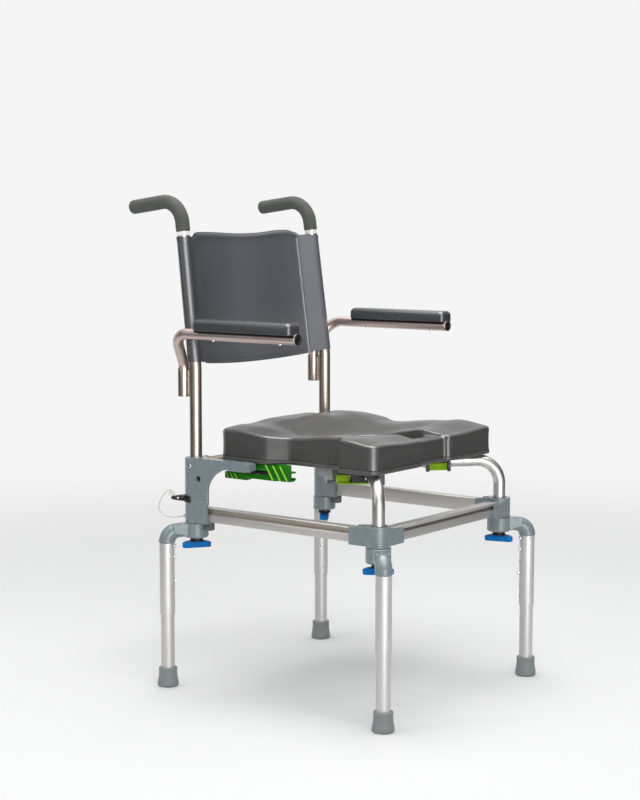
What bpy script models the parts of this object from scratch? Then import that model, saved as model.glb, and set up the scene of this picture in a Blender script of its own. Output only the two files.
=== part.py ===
"""Over-toilet and bath transfer chair: four telescopic legs on swivelling elbows, a rail frame,
two back posts with a sling and push grips, swing-away armrests and a contoured commode seat.

Metres, +Z up, the front of the chair faces -Y. "right" is the sitter's right, at -X.
The dimensions below are measured from the centre of the four corner axes, on the floor. The empty
named chair then moves everything so that the origin is the bottom centre of the whole chair.
"""
import math

import bmesh
import bpy
from mathutils import Matrix, Vector
from mathutils.geometry import tessellate_polygon

# Clearances
GAP = 0.0003            # between touching pieces
FIT = 0.0006            # sliding fit, on the diameter

# Corner axes
HALF_W = 0.2205         # corner axis to centre, across
HALF_D = 0.232          # corner axis to centre, front to back

# Tubes
SEAT_TUBE_R = 0.0127    # 25.4 mm tube
POST_R = 0.0127
TUBE_WALL = 0.0016
LEG_OUTER_R = 0.015875  # 31.75 mm tube
LEG_INNER_R = 0.0142
LEG_BORE_R = LEG_INNER_R + FIT / 2

# Legs
LEG_REACH = 0.062       # corner axis to leg axis
HUB_R = 0.025
HUB_BOTTOM = 0.3145
HUB_TOP = 0.3452
ELBOW_R = 0.017         # at the mouth
ARM_NECK_R = 0.0140     # beside the hub
ELBOW_AXIS_Z = 0.3289
ELBOW_BEND = 0.024
ELBOW_MOUTH = 0.3045
SPIGOT_BOTTOM = 0.2625
OUTER_BOTTOM = 0.153
OUTER_TOP = ELBOW_MOUTH - GAP
INNER_TOP = 0.235
HOLE_PITCH = 0.0254
BUTTON_Z = 0.2222
HOLE_R = 0.0041
BUTTON_R = 0.0037
BUTTON_REACH = 0.0205   # leg axis to the button's crown
TIP_TOP = 0.0405
TIP_TOP_R = 0.0192
TIP_FOOT_R = 0.0220
TIP_FLOOR = 0.0115      # thickness of rubber under the tube

# Clamp handles under the hubs
COLLAR_R = 0.013
COLLAR_BOTTOM = 0.3065
LEVER_LENGTH = 0.061
LEVER_WIDTH = 0.022
LEVER_BOTTOM = 0.2927
LEVER_TOP = COLLAR_BOTTOM - GAP
LEVER_ANGLES = {"front_right": 125.0, "front_left": -74.7, "rear_right": 146.0, "rear_left": 34.0}

# Rails
RAIL_HALF = 0.0125
RAIL_BOTTOM = 0.351
RAIL_TOP = 0.3800
GROOVE_BOTTOM = 0.3670
GROOVE_TOP = 0.3738
GROOVE_DEPTH = 0.0052

# Corner connectors
BOSS_R = 0.0235
BOSS_BOTTOM = HUB_TOP + GAP
BOSS_TOP = 0.3868
BOSS_FLOOR = 0.351
SOCKET_HALF = 0.0188
SOCKET_BOTTOM = 0.3474
SOCKET_RISE = 0.0040         # of an arm's top edge towards the boss
SIDE_ARM_TOP = 0.3815        # at its end
FRONT_ARM_TOP = 0.3775
SOCKET_PLAY = GAP
SIDE_ARM = {"right": 0.0583, "left": 0.0490}
FRONT_ARM = {"right": 0.0608, "left": 0.0445}

# Seat tubes
SEAT_TUBE_AXIS_Z = 0.467
SEAT_TUBE_BEND = 0.050
SEAT_DIR = (0.743, 0.669)    # of the right seat tube, inward and rearward
SEAT_TUBE_RUN = 0.168        # from the corner axis along that direction

# Rear brackets
BRACKET_TOP = 0.482
BRACKET_FACE = 0.0222        # corner axis to the flat outer face
BRACKET_WALL = 0.024
BRACKET_WEB = 0.006          # plate below the arm
BRACKET_SOCKET_END = HALF_D - 0.045
BRACKET_SOCKET_TOP = 0.3840
BRACKET_ARM_BOTTOM = 0.4650
BRACKET_TIP_Y = HALF_D - 0.1595
PIN_Z = 0.3967
POST_FOOT = PIN_Z - 0.0247
STOP_BOTTOM = 0.3320         # block beside the hub that limits the leg's swing
CROSS_Z = 0.466
CROSS_BOSS_R = 0.0165
CROSS_BOSS_X = HALF_W - 0.0345

# Back posts and push grips
POST_BEND_Z = 0.670
POST_LEAN = 0.128            # metres back per metre up
POST_TOP_X = HALF_W - 0.0065
GRIP_CORNER_Z = 1.0142
GRIP_CORNER_Y = HALF_D + POST_LEAN * (GRIP_CORNER_Z - POST_BEND_Z)
GRIP_BEND = 0.050
GRIP_FROM_Z = 0.9475
GRIP_R = 0.01475
GRIP_LENGTH = 0.1365         # corner to tip
GRIP_END = 0.0055            # foam beyond the end of the tube

# Armrests
SLEEVE_Y = HALF_D + 0.032
SLEEVE_R = 0.0127
SLEEVE_BOTTOM = 0.607
SLEEVE_TOP = 0.6655
ARM_R = 0.011
ARM_X = HALF_W + 0.044
ARM_Z = SLEEVE_TOP + 0.0755
ARM_BACK = SLEEVE_Y - 0.016  # the tube leans forward as it rises
ARM_FRONT = -0.069
ARM_BEND = 0.042
PAD_X = ARM_X + 0.0035
PAD_HALF = 0.020
PAD_FRONT = -0.0665
PAD_BACK = 0.184
PAD_BOTTOM = ARM_Z + 0.0065
PAD_TOP = PAD_BOTTOM + 0.025
PAD_CORNER = 0.009

# Sling
SLING_BOTTOM = 0.6805
SLING_TOP = 0.9370
SLING_WRAP = 0.0018          # cloth over the posts
SLING_THICK = 0.0034
SLING_BOW = 0.024
SLING_SAG = 0.012

# Seat
TRAY_BOTTOM = 0.4810
TRAY_TOP = 0.4892
TRAY_LIP = 0.0010
SEAT_X = HALF_W - 0.0055
WAIST_X = SEAT_X - 0.028
SEAT_FRONT = 0.014 - HALF_D
SEAT_BACK = HALF_D - 0.052
BRIDGE_FRONT = SEAT_FRONT + 0.012
BRIDGE_HALF = 0.046
OPENING_Y = SEAT_FRONT + 0.138
OPENING_A = 0.064
OPENING_B = 0.089
EDGE_ROUND = 0.008
SEAT_RIM_Z = TRAY_TOP + 0.0463    # top of the cushion along its waist
SEAT_DISH_Z = TRAY_TOP + 0.0303   # lowest part, between waist and opening
BRIDGE_Z = TRAY_TOP + 0.0408      # between the two lobes

# Seat clips, in the frame of the seat tube: along it, across it, up
CLIP_AT = 0.1385             # from the corner axis along the seat tube
CLIP_HALF = 0.0255
CLIP_EAR = 0.0052
CLIP_FRONT = -0.0225
CLIP_STEP = 0.040
CLIP_BACK = 0.068
CLIP_NECK = 0.014            # half width behind the step
CLIP_BEAM_Z = 0.4672
CLIP_EAR_Z = 0.4485
CLIP_TOP = 0.4843
CLIP_HINGE = (-0.0175, 0.4620)

# Rear latches
LATCH_OUT = HALF_W - 0.0085
LATCH_IN = LATCH_OUT - 0.018
LATCH_BACK = HALF_D - 0.069
LATCH_FRONT = LATCH_BACK - 0.1734
LATCH_PLATE = 0.0035

# Retaining pin
PIN_DIR = (-0.6, 0.8)
PIN_REACH = 0.0523
CORD_R = 0.0008

GRIP_TIP_Y = GRIP_CORNER_Y + GRIP_LENGTH / math.hypot(1.0, POST_LEAN)
FRONT_REACH = HALF_D + LEG_REACH * math.sqrt(0.5) + TIP_FOOT_R
SHIFT_Y = (FRONT_REACH - GRIP_TIP_Y) / 2

SIDES = {"right": -1.0, "left": 1.0}
CORNERS = {
    "front_right": (-1.0, -1.0),
    "front_left": (1.0, -1.0),
    "rear_right": (-1.0, 1.0),
    "rear_left": (1.0, 1.0),
}

for old in list(bpy.data.objects):
    bpy.data.objects.remove(old)

CHAIR = bpy.data.objects.new("chair", None)
bpy.context.scene.collection.objects.link(CHAIR)
CHAIR.location = (0.0, SHIFT_Y, 0.0)


def paint(name, colour, roughness, metallic=0.0):
    """One Principled material per sub-part."""
    mat = bpy.data.materials.new(name)
    mat.use_nodes = True
    shader = mat.node_tree.nodes["Principled BSDF"]
    shader.inputs["Base Color"].default_value = (*colour, 1.0)
    shader.inputs["Roughness"].default_value = roughness
    shader.inputs["Metallic"].default_value = metallic
    return mat


def finish(name, bm, look, origin=(0.0, 0.0, 0.0), mirror=False, smooth=35.0):
    """Turn a mesh built in chair coordinates into a named object with its origin at origin."""
    if mirror:
        bmesh.ops.scale(bm, vec=(-1.0, 1.0, 1.0), verts=bm.verts)
        bmesh.ops.reverse_faces(bm, faces=bm.faces)
    bmesh.ops.remove_doubles(bm, verts=bm.verts, dist=0.00001)
    bmesh.ops.triangulate(bm, faces=bm.faces)
    home = Vector(origin)
    bmesh.ops.translate(bm, vec=-home, verts=bm.verts)
    limit = math.radians(smooth)
    for edge in bm.edges:
        edge.smooth = len(edge.link_faces) == 2 and edge.calc_face_angle(math.pi) < limit
    for face in bm.faces:
        face.smooth = True
    mesh = bpy.data.meshes.new(name)
    bm.to_mesh(mesh)
    bm.free()
    obj = bpy.data.objects.new(name, mesh)
    bpy.context.scene.collection.objects.link(obj)
    mesh.materials.append(paint("mat_" + name, *look))
    obj.parent = CHAIR
    obj.location = home
    return obj


def combine(first, second, operation):
    """Boolean of two bmeshes with the exact solver; both are used up."""
    made = []
    for label, bm in (("first", first), ("second", second)):
        mesh = bpy.data.meshes.new("work_" + label)
        bm.to_mesh(mesh)
        bm.free()
        obj = bpy.data.objects.new("work_" + label, mesh)
        bpy.context.scene.collection.objects.link(obj)
        made.append(obj)
    made[1].hide_render = True
    made[1].display_type = "WIRE"
    step = made[0].modifiers.new("join", "BOOLEAN")
    step.operation = operation
    step.solver = "EXACT"
    step.object = made[1]
    graph = bpy.context.evaluated_depsgraph_get()
    result = bmesh.new()
    result.from_mesh(made[0].evaluated_get(graph).to_mesh())
    made[0].evaluated_get(graph).to_mesh_clear()
    for obj in made:
        mesh = obj.data
        bpy.data.objects.remove(obj)
        bpy.data.meshes.remove(mesh)
    bmesh.ops.remove_doubles(result, verts=result.verts, dist=0.00002)
    bmesh.ops.dissolve_degenerate(result, dist=0.00002, edges=result.edges)
    return result


def union(*parts):
    whole = parts[0]
    for part in parts[1:]:
        whole = combine(whole, part, "UNION")
    return whole


def cut(body, *tools):
    for tool in tools:
        body = combine(body, tool, "DIFFERENCE")
    return body


def box(x0, x1, y0, y1, z0, z1):
    bm = bmesh.new()
    verts = [bm.verts.new((x, y, z)) for z in (z0, z1) for x, y in ((x0, y0), (x1, y0), (x1, y1), (x0, y1))]
    faces = ((3, 2, 1, 0), (4, 5, 6, 7), (0, 1, 5, 4), (1, 2, 6, 5), (2, 3, 7, 6), (3, 0, 4, 7))
    for face in faces:
        bm.faces.new([verts[i] for i in face])
    return bm


def bevel(bm, width, segments=2, angle=50.0):
    sharp = [e for e in bm.edges if e.calc_face_angle(0.0) > math.radians(angle)]
    bmesh.ops.bevel(bm, geom=sharp, offset=width, segments=segments, profile=0.5, affect="EDGES")
    return bm


def prism(outline, low, high, axis="z"):
    """Straight extrusion of a closed outline; axis x takes (y, z) points, axis z takes (x, y)."""
    bm = bmesh.new()
    rings = []
    for level in (low, high):
        if axis == "z":
            rings.append([bm.verts.new((p[0], p[1], level)) for p in outline])
        elif axis == "x":
            rings.append([bm.verts.new((level, p[0], p[1])) for p in outline])
        else:
            rings.append([bm.verts.new((p[0], level, p[1])) for p in outline])
    count = len(outline)
    bm.faces.new(list(reversed(rings[0])))
    bm.faces.new(rings[1])
    for i in range(count):
        j = (i + 1) % count
        bm.faces.new((rings[0][i], rings[0][j], rings[1][j], rings[1][i]))
    bmesh.ops.recalc_face_normals(bm, faces=bm.faces)
    return bm


def revolve(profile, sides, centre=(0.0, 0.0), start=0.0):
    """Solid of revolution about a vertical axis; profile is a closed loop of (radius, z)."""
    bm = bmesh.new()
    rings = []
    for radius, z in profile:
        if radius < 1e-7:
            rings.append([bm.verts.new((centre[0], centre[1], z))])
            continue
        ring = []
        for i in range(sides):
            angle = start + 2 * math.pi * i / sides
            ring.append(bm.verts.new((centre[0] + radius * math.cos(angle), centre[1] + radius * math.sin(angle), z)))
        rings.append(ring)
    for a, b in zip(rings, rings[1:] + rings[:1]):
        if len(a) == 1 and len(b) == 1:
            continue
        for i in range(sides):
            j = (i + 1) % sides
            if len(a) == 1:
                bm.faces.new((a[0], b[i], b[j]))
            elif len(b) == 1:
                bm.faces.new((a[i], b[0], a[j]))
            else:
                bm.faces.new((a[i], b[i], b[j], a[j]))
    bmesh.ops.recalc_face_normals(bm, faces=bm.faces)
    return bm


def turn(bm, matrix):
    bmesh.ops.transform(bm, matrix=matrix, verts=bm.verts)
    if matrix.determinant() < 0:
        bmesh.ops.reverse_faces(bm, faces=bm.faces)
    return bm


def fillet(corners, radius, degrees=18.0):
    """Centreline through corners, each inner one rounded in steps of about so many degrees."""
    pts = [Vector(c) for c in corners]
    radii = radius if isinstance(radius, (list, tuple)) else [radius] * (len(pts) - 2)
    line = [(pts[0], (pts[1] - pts[0]).normalized())]
    for k in range(1, len(pts) - 1):
        a = (pts[k] - pts[k - 1]).normalized()
        b = (pts[k + 1] - pts[k]).normalized()
        angle = a.angle(b)
        if angle < 1e-4:
            continue
        reach = radii[k - 1] * math.tan(angle / 2)
        start = pts[k] - a * reach
        inward = (b - a * a.dot(b)).normalized()
        centre = start + inward * radii[k - 1]
        steps = max(2, round(math.degrees(angle) / degrees))
        for s in range(steps + 1):
            t = angle * s / steps
            point = centre - inward * radii[k - 1] * math.cos(t) + a * radii[k - 1] * math.sin(t)
            line.append((point, (a * math.cos(t) + inward * math.sin(t)).normalized()))
    line.append((pts[-1], (pts[-1] - pts[-2]).normalized()))
    return line


def skin(bm, stations, sides, first=None):
    """Rings of vertices round a centreline; stations are (point, tangent, radius)."""
    rings = []
    side = first
    for point, tangent, radius in stations:
        if side is None:
            side = Vector((1.0, 0.0, 0.0))
            if abs(tangent.dot(side)) > 0.9:
                side = Vector((0.0, 0.0, 1.0))
        side = (side - tangent * tangent.dot(side)).normalized()
        other = tangent.cross(side)
        ring = []
        for i in range(sides):
            angle = 2 * math.pi * i / sides
            ring.append(bm.verts.new(point + (side * math.cos(angle) + other * math.sin(angle)) * radius))
        rings.append(ring)
    for a, b in zip(rings, rings[1:]):
        for i in range(sides):
            j = (i + 1) % sides
            bm.faces.new((a[i], a[j], b[j], b[i]))
    return rings


def close_fan(bm, ring):
    bm.faces.new(ring)


def annulus(bm, outer, inner):
    for i in range(len(outer)):
        j = (i + 1) % len(outer)
        bm.faces.new((outer[i], outer[j], inner[j], inner[i]))


def bar(line, radius, sides):
    """Solid round bar along a centreline; one radius, or one for each station."""
    bm = bmesh.new()
    radii = radius if isinstance(radius, list) else [radius] * len(line)
    rings = skin(bm, [(p, t, r) for (p, t), r in zip(line, radii)], sides)
    close_fan(bm, rings[0])
    close_fan(bm, rings[-1])
    bmesh.ops.recalc_face_normals(bm, faces=bm.faces)
    return bm


def pipe(line, radius, wall, sides):
    """Open tube along a centreline."""
    bm = bmesh.new()
    outer = skin(bm, [(p, t, radius) for p, t in line], sides)
    inner = skin(bm, [(p, t, radius - wall) for p, t in line], sides)
    annulus(bm, outer[0], inner[0])
    annulus(bm, outer[-1], inner[-1])
    bmesh.ops.recalc_face_normals(bm, faces=bm.faces)
    return bm


def ease(value, low, high):
    t = min(1.0, max(0.0, (value - low) / (high - low)))
    return t * t * (3 - 2 * t)


# Looks: colour, roughness, metallic
CASTING = ((0.19, 0.25, 0.26), 0.45, 0.0)
ANODISED = ((0.62, 0.62, 0.61), 0.35, 0.9)
RAIL_LOOK = ((0.45, 0.44, 0.43), 0.35, 0.9)
NICKEL = ((0.42, 0.37, 0.33), 0.28, 0.9)
RUBBER = ((0.25, 0.28, 0.28), 0.75, 0.0)
BLACK = ((0.02, 0.02, 0.02), 0.5, 0.0)
BLUE = ((0.004, 0.16, 0.50), 0.4, 0.0)
CHROME = ((0.75, 0.75, 0.75), 0.15, 1.0)
SLING_LOOK = ((0.07, 0.075, 0.09), 0.5, 0.0)
FOAM = ((0.115, 0.12, 0.11), 0.8, 0.0)
PAD_LOOK = ((0.07, 0.075, 0.08), 0.55, 0.0)
CUSHION_LOOK = ((0.085, 0.085, 0.085), 0.5, 0.0)
TRAY_LOOK = ((0.09, 0.09, 0.09), 0.5, 0.0)
LIME = ((0.25, 0.43, 0.004), 0.4, 0.0)
GREEN = ((0.03, 0.30, 0.004), 0.4, 0.0)
CORD_LOOK = ((0.75, 0.73, 0.68), 0.4, 0.0)


def to_corner(corner):
    """Matrix from leg coordinates, +X out along the leg arm, to the named corner."""
    sx, sy = CORNERS[corner]
    angle = math.atan2(sy, sx)
    return Matrix.Translation((sx * HALF_W, sy * HALF_D, 0.0)) @ Matrix.Rotation(angle, 4, "Z")


def corner_axis(corner):
    sx, sy = CORNERS[corner]
    return (sx * HALF_W, sy * HALF_D, 0.0)


def leg_axis(corner):
    sx, sy = CORNERS[corner]
    step = LEG_REACH * math.sqrt(0.5)
    return (sx * (HALF_W + step), sy * (HALF_D + step), 0.0)


def leg_elbow(corner):
    """Hub under the corner, arm out to the leg and down-turned mouth with its spigot."""
    edge = 0.0025
    hub = revolve([(0.0, HUB_BOTTOM), (HUB_R - edge, HUB_BOTTOM), (HUB_R, HUB_BOTTOM + edge),
                   (HUB_R, HUB_TOP), (0.0, HUB_TOP)], 20)
    line = fillet([(COLLAR_R + 0.0015, 0.0, ELBOW_AXIS_Z), (LEG_REACH, 0.0, ELBOW_AXIS_Z), (LEG_REACH, 0.0, ELBOW_MOUTH)],
                  ELBOW_BEND)
    radii = [ARM_NECK_R + (ELBOW_R - ARM_NECK_R) * ease(p.x, 0.026, 0.060) for p, t in line]
    arm = bar(line, radii, 16)
    web = prism([(0.012, HUB_TOP - 0.0006), (0.050, ELBOW_AXIS_Z + 0.0120), (0.046, ELBOW_AXIS_Z - 0.0050),
                 (0.012, HUB_BOTTOM + 0.001)], -0.0165, 0.0165, axis="y")
    bevel(web, 0.003, 1)
    spigot = revolve([(0.0, SPIGOT_BOTTOM), (LEG_BORE_R - GAP, SPIGOT_BOTTOM), (LEG_BORE_R - GAP, ELBOW_MOUTH + 0.002),
                      (0.0, ELBOW_MOUTH + 0.002)], 16, (LEG_REACH, 0.0))
    body = union(hub, arm, web, spigot)
    turn(body, to_corner(corner))
    return finish("leg_elbow_" + corner, body, CASTING, corner_axis(corner))


def radial_hole(z, radius, reach):
    """Round cutter through the wall that faces the chair."""
    tool = revolve([(0.0, 0.0), (radius, 0.0), (radius, reach), (0.0, reach)], 8, start=math.pi / 8)
    return turn(tool, Matrix.Translation((LEG_REACH, 0.0, z)) @ Matrix.Rotation(-math.pi / 2, 4, "Y"))


def leg_outer_tube(corner):
    """Upper leg tube with the row of adjusting holes."""
    line = [(Vector((LEG_REACH, 0.0, OUTER_BOTTOM)), Vector((0, 0, 1))),
            (Vector((LEG_REACH, 0.0, OUTER_TOP)), Vector((0, 0, 1)))]
    tube = pipe(line, LEG_OUTER_R, LEG_OUTER_R - LEG_BORE_R, 20)
    for step in (-2, -1, 0, 1, 2):
        tube = cut(tube, radial_hole(BUTTON_Z + step * HOLE_PITCH, HOLE_R, 0.03))
    turn(tube, to_corner(corner))
    return finish("leg_outer_tube_" + corner, tube, ANODISED, leg_axis(corner))


def leg_inner_tube(corner):
    """Lower leg tube, which carries the snap button and stands in the rubber tip."""
    line = [(Vector((LEG_REACH, 0.0, TIP_FLOOR + GAP)), Vector((0, 0, 1))),
            (Vector((LEG_REACH, 0.0, INNER_TOP)), Vector((0, 0, 1)))]
    tube = pipe(line, LEG_INNER_R, TUBE_WALL, 20)
    tube = cut(tube, radial_hole(BUTTON_Z, HOLE_R, 0.03))
    turn(tube, to_corner(corner))
    return finish("leg_inner_tube_" + corner, tube, ANODISED, leg_axis(corner))


def leg_tip(corner):
    """Bell-shaped rubber ferrule."""
    socket = LEG_INNER_R + GAP
    profile = [(0.0, 0.0), (TIP_FOOT_R - 0.0048, 0.0), (TIP_FOOT_R - 0.0012, 0.0014), (TIP_FOOT_R, 0.0046),
               (TIP_FOOT_R - 0.0004, 0.0090),
               (TIP_TOP_R + 0.0006, 0.0200), (TIP_TOP_R, 0.0360), (TIP_TOP_R - 0.0012, TIP_TOP),
               (socket, TIP_TOP), (socket, TIP_FLOOR), (0.0, TIP_FLOOR)]
    body = revolve(profile, 20, (LEG_REACH, 0.0))
    turn(body, to_corner(corner))
    return finish("leg_tip_" + corner, body, RUBBER, leg_axis(corner))


def snap_button(corner):
    """Sprung button through both leg tubes, with its flange inside the inner tube."""
    inside = LEG_INNER_R - TUBE_WALL - 0.0016
    profile = [(0.0, inside - 0.0022), (BUTTON_R + 0.0016, inside - 0.0022), (BUTTON_R + 0.0016, inside),
               (BUTTON_R, inside), (BUTTON_R, BUTTON_REACH - 0.0024), (BUTTON_R * 0.70, BUTTON_REACH - 0.0006),
               (0.0, BUTTON_REACH)]
    body = revolve(profile, 10)
    turn(body, Matrix.Translation((LEG_REACH, 0.0, BUTTON_Z)) @ Matrix.Rotation(-math.pi / 2, 4, "Y"))
    turn(body, to_corner(corner))
    place = leg_axis(corner)
    return finish("snap_button_" + corner, body, CHROME, (place[0], place[1], BUTTON_Z))


def clamp_collar(corner):
    """Black collar between the hub and the blue handle."""
    top = HUB_BOTTOM - GAP
    x, y, z = corner_axis(corner)
    body = revolve([(0.0, COLLAR_BOTTOM), (COLLAR_R + 0.002, COLLAR_BOTTOM), (COLLAR_R, COLLAR_BOTTOM + 0.004),
                    (COLLAR_R, top), (0.0, top)], 16, (x, y))
    return finish("clamp_collar_" + corner, body, BLACK, (x, y, 0.0))


def clamp_lever(corner):
    """Blue wing handle, thicker in the middle, with rounded ends."""
    half = LEVER_LENGTH / 2
    flat = 0.014

    def ring(inset, z, drop):
        wide = LEVER_WIDTH / 2 - 0.001 - inset
        points = []
        for end in (1.0, -1.0):
            for degrees in (-90, -60, -30, 0, 30, 60, 90):
                angle = math.radians(degrees)
                points.append((end * (half - 0.008 + (0.008 - inset) * math.cos(angle)), end * wide * math.sin(angle)))
            points += [(end * flat, end * wide), (-end * flat, end * wide)]
        return [(px, py, z - drop * ease(abs(px), flat, half)) for px, py in points]

    bm = bmesh.new()
    edge = 0.0018
    layers = [ring(edge, LEVER_BOTTOM, 0.0), ring(0.0, LEVER_BOTTOM + edge, 0.0), ring(0.0, LEVER_TOP - edge, 0.0030),
              ring(edge, LEVER_TOP, 0.0030)]
    rings = [[bm.verts.new(point) for point in layer] for layer in layers]
    for a, b in zip(rings, rings[1:]):
        for i in range(len(a)):
            j = (i + 1) % len(a)
            bm.faces.new((a[i], a[j], b[j], b[i]))
    bm.faces.new(list(reversed(rings[0])))
    top = rings[-1]
    bm.faces.new(top[0:8] + top[17:18])
    bm.faces.new((top[7], top[8], top[16], top[17]))
    bm.faces.new(top[8:17])
    bmesh.ops.recalc_face_normals(bm, faces=bm.faces)
    x, y, z = corner_axis(corner)
    turn(bm, Matrix.Translation((x, y, 0.0)) @ Matrix.Rotation(math.radians(LEVER_ANGLES[corner]), 4, "Z"))
    return finish("clamp_lever_" + corner, bm, BLUE, (x, y, 0.0))


def rail_profile():
    """Grooved rail section as (across, z), outer face towards +."""
    r = 0.0010
    return [(-RAIL_HALF, RAIL_BOTTOM + r), (-RAIL_HALF + r, RAIL_BOTTOM), (RAIL_HALF - r, RAIL_BOTTOM),
            (RAIL_HALF, RAIL_BOTTOM + r), (RAIL_HALF, GROOVE_BOTTOM), (RAIL_HALF - GROOVE_DEPTH, GROOVE_BOTTOM),
            (RAIL_HALF - GROOVE_DEPTH, GROOVE_TOP), (RAIL_HALF, GROOVE_TOP), (RAIL_HALF, RAIL_TOP - r),
            (RAIL_HALF - r, RAIL_TOP), (-RAIL_HALF + r, RAIL_TOP), (-RAIL_HALF, RAIL_TOP - r)]


def side_rail(side):
    outline = [(-HALF_W - u, z) for u, z in rail_profile()]
    body = prism(outline, -HALF_D + BOSS_R + 0.001, HALF_D - BOSS_R - 0.001, axis="y")
    return finish("side_rail_" + side, body, RAIL_LOOK, mirror=side == "left")


def front_rail():
    outline = [(-HALF_D - u, z) for u, z in rail_profile()]
    reach = HALF_W - BOSS_R - 0.001
    return finish("front_rail", prism(outline, -reach, reach, axis="x"), RAIL_LOOK)


def corner_connector(side):
    """Front corner: round boss for the seat tube and a trough for each rail."""
    x = -HALF_W
    y = -HALF_D
    boss = revolve([(0.0, BOSS_BOTTOM), (BOSS_R, BOSS_BOTTOM), (BOSS_R, BOSS_TOP - 0.0015), (BOSS_R - 0.0015, BOSS_TOP),
                    (SEAT_TUBE_R + 0.0016, BOSS_TOP), (SEAT_TUBE_R + 0.0014, BOSS_TOP - 0.0012), (0.0, BOSS_TOP - 0.0012)],
                   24, (x, y))
    side_end = y + SIDE_ARM[side]
    front_end = x + FRONT_ARM[side]
    side_arm = prism([(y, SOCKET_BOTTOM), (side_end, SOCKET_BOTTOM), (side_end, SIDE_ARM_TOP),
                      (y + BOSS_R - 0.004, SIDE_ARM_TOP + SOCKET_RISE), (y, SIDE_ARM_TOP + SOCKET_RISE)],
                     x - SOCKET_HALF, x + SOCKET_HALF, axis="x")
    bevel(side_arm, 0.0015, 1)
    front_face = y - (SOCKET_HALF if side == "right" else BOSS_R - 0.0006)
    front_arm = prism([(x, SOCKET_BOTTOM), (front_end, SOCKET_BOTTOM), (front_end, FRONT_ARM_TOP),
                       (x + BOSS_R - 0.004, FRONT_ARM_TOP + SOCKET_RISE), (x, FRONT_ARM_TOP + SOCKET_RISE)],
                      front_face, y + SOCKET_HALF, axis="y")
    bevel(front_arm, 0.0015, 1)
    body = union(boss, side_arm, front_arm)
    play = RAIL_HALF + SOCKET_PLAY
    floor = RAIL_BOTTOM - SOCKET_PLAY
    start = BOSS_R + 0.0004
    body = cut(body,
               box(x - play, x + play, y + start, side_end + 0.01, floor, BOSS_TOP + 0.01),
               box(x + start, front_end + 0.01, y - play, y + play, floor, BOSS_TOP + 0.01),
               revolve([(0.0, BOSS_FLOOR), (SEAT_TUBE_R + GAP, BOSS_FLOOR), (SEAT_TUBE_R + GAP, BOSS_TOP + 0.01),
                        (0.0, BOSS_TOP + 0.01)], 16, (x, y)))
    return finish("corner_connector_" + side, body, CASTING, mirror=side == "left")


def seat_line():
    """Centreline of the right seat tube."""
    end = (-HALF_W + SEAT_DIR[0] * SEAT_TUBE_RUN, -HALF_D + SEAT_DIR[1] * SEAT_TUBE_RUN, SEAT_TUBE_AXIS_Z)
    return fillet([(-HALF_W, -HALF_D, BOSS_FLOOR + GAP), (-HALF_W, -HALF_D, SEAT_TUBE_AXIS_Z), end],
                  SEAT_TUBE_BEND)


def seat_tube(side):
    body = pipe(seat_line(), SEAT_TUBE_R, TUBE_WALL, 16)
    return finish("seat_tube_" + side, body, ANODISED, mirror=side == "left")


def rear_bracket(side):
    """Column for the back post, closed rail socket, and the arm that reaches under the seat."""
    x = -HALF_W
    y = HALF_D
    face = x - BRACKET_FACE
    column = revolve([(0.0, BOSS_BOTTOM), (BOSS_R, BOSS_BOTTOM), (BOSS_R, BRACKET_TOP - 0.0015),
                      (BOSS_R - 0.0015, BRACKET_TOP), (0.0, BRACKET_TOP)], 24, (x, y))
    end = BRACKET_SOCKET_END
    tip = BRACKET_TIP_Y
    low = BRACKET_ARM_BOTTOM
    arm = prism([(y, low), (tip + 0.010, low), (tip + 0.003, low + 0.0012), (tip, low + 0.0050), (tip, 0.4790),
                 (tip + 0.001, 0.4815), (tip + 0.006, 0.4835), (y - 0.010, 0.4835), (y, BRACKET_TOP)],
                face, face + BRACKET_WALL, axis="x")
    bevel(arm, 0.0015, 1, 60.0)
    web = prism([(y, SOCKET_BOTTOM), (end, SOCKET_BOTTOM), (end, BRACKET_SOCKET_TOP), (end - 0.0045, 0.3885),
                 (end - 0.0045, 0.416), (end - 0.0075, 0.431), (end - 0.017, 0.446), (end - 0.032, 0.4575),
                 (end - 0.052, low + 0.0010), (end - 0.052, low + 0.0060), (y, low + 0.0060)],
                face, face + BRACKET_WEB, axis="x")
    bevel(web, 0.0008, 1, 60.0)
    block = box(face + 0.002, x + BRACKET_FACE, end + 0.0015, y, SOCKET_BOTTOM, RAIL_TOP - 0.0025)
    bevel(block, 0.0012, 1)
    boss = bar([(Vector((x, y, CROSS_Z)), Vector((1, 0, 0))), (Vector((-CROSS_BOSS_X, y, CROSS_Z)), Vector((1, 0, 0)))],
               CROSS_BOSS_R, 16)
    stop = box(x - 0.007, x + 0.007, end + 0.001, y - HUB_R - 0.0015, STOP_BOTTOM, SOCKET_BOTTOM + 0.001)
    bevel(stop, 0.0008, 1)
    body = union(column, web, arm, block, boss, stop)
    play = RAIL_HALF + SOCKET_PLAY
    bore = revolve([(0.0, POST_FOOT - GAP), (POST_R + GAP, POST_FOOT - GAP), (POST_R + GAP, BRACKET_TOP + 0.02),
                    (0.0, BRACKET_TOP + 0.02)], 16, (x, y))
    tunnel = box(x - play, x + play, end - 0.02, y - BOSS_R - 0.0004, RAIL_BOTTOM - SOCKET_PLAY,
                 RAIL_TOP + SOCKET_PLAY)
    cross = bar([(Vector((x + POST_R + 0.004, y, CROSS_Z)), Vector((1, 0, 0))), (Vector((0, y, CROSS_Z)), Vector((1, 0, 0)))],
                POST_R + GAP, 16)
    body = cut(body, bore, tunnel, cross)
    if side == "right":
        body = cut(body, pin_bar(0.0, 0.040, 0.0036, 8))
    return finish("rear_bracket_" + side, body, CASTING, mirror=side == "left")


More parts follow.
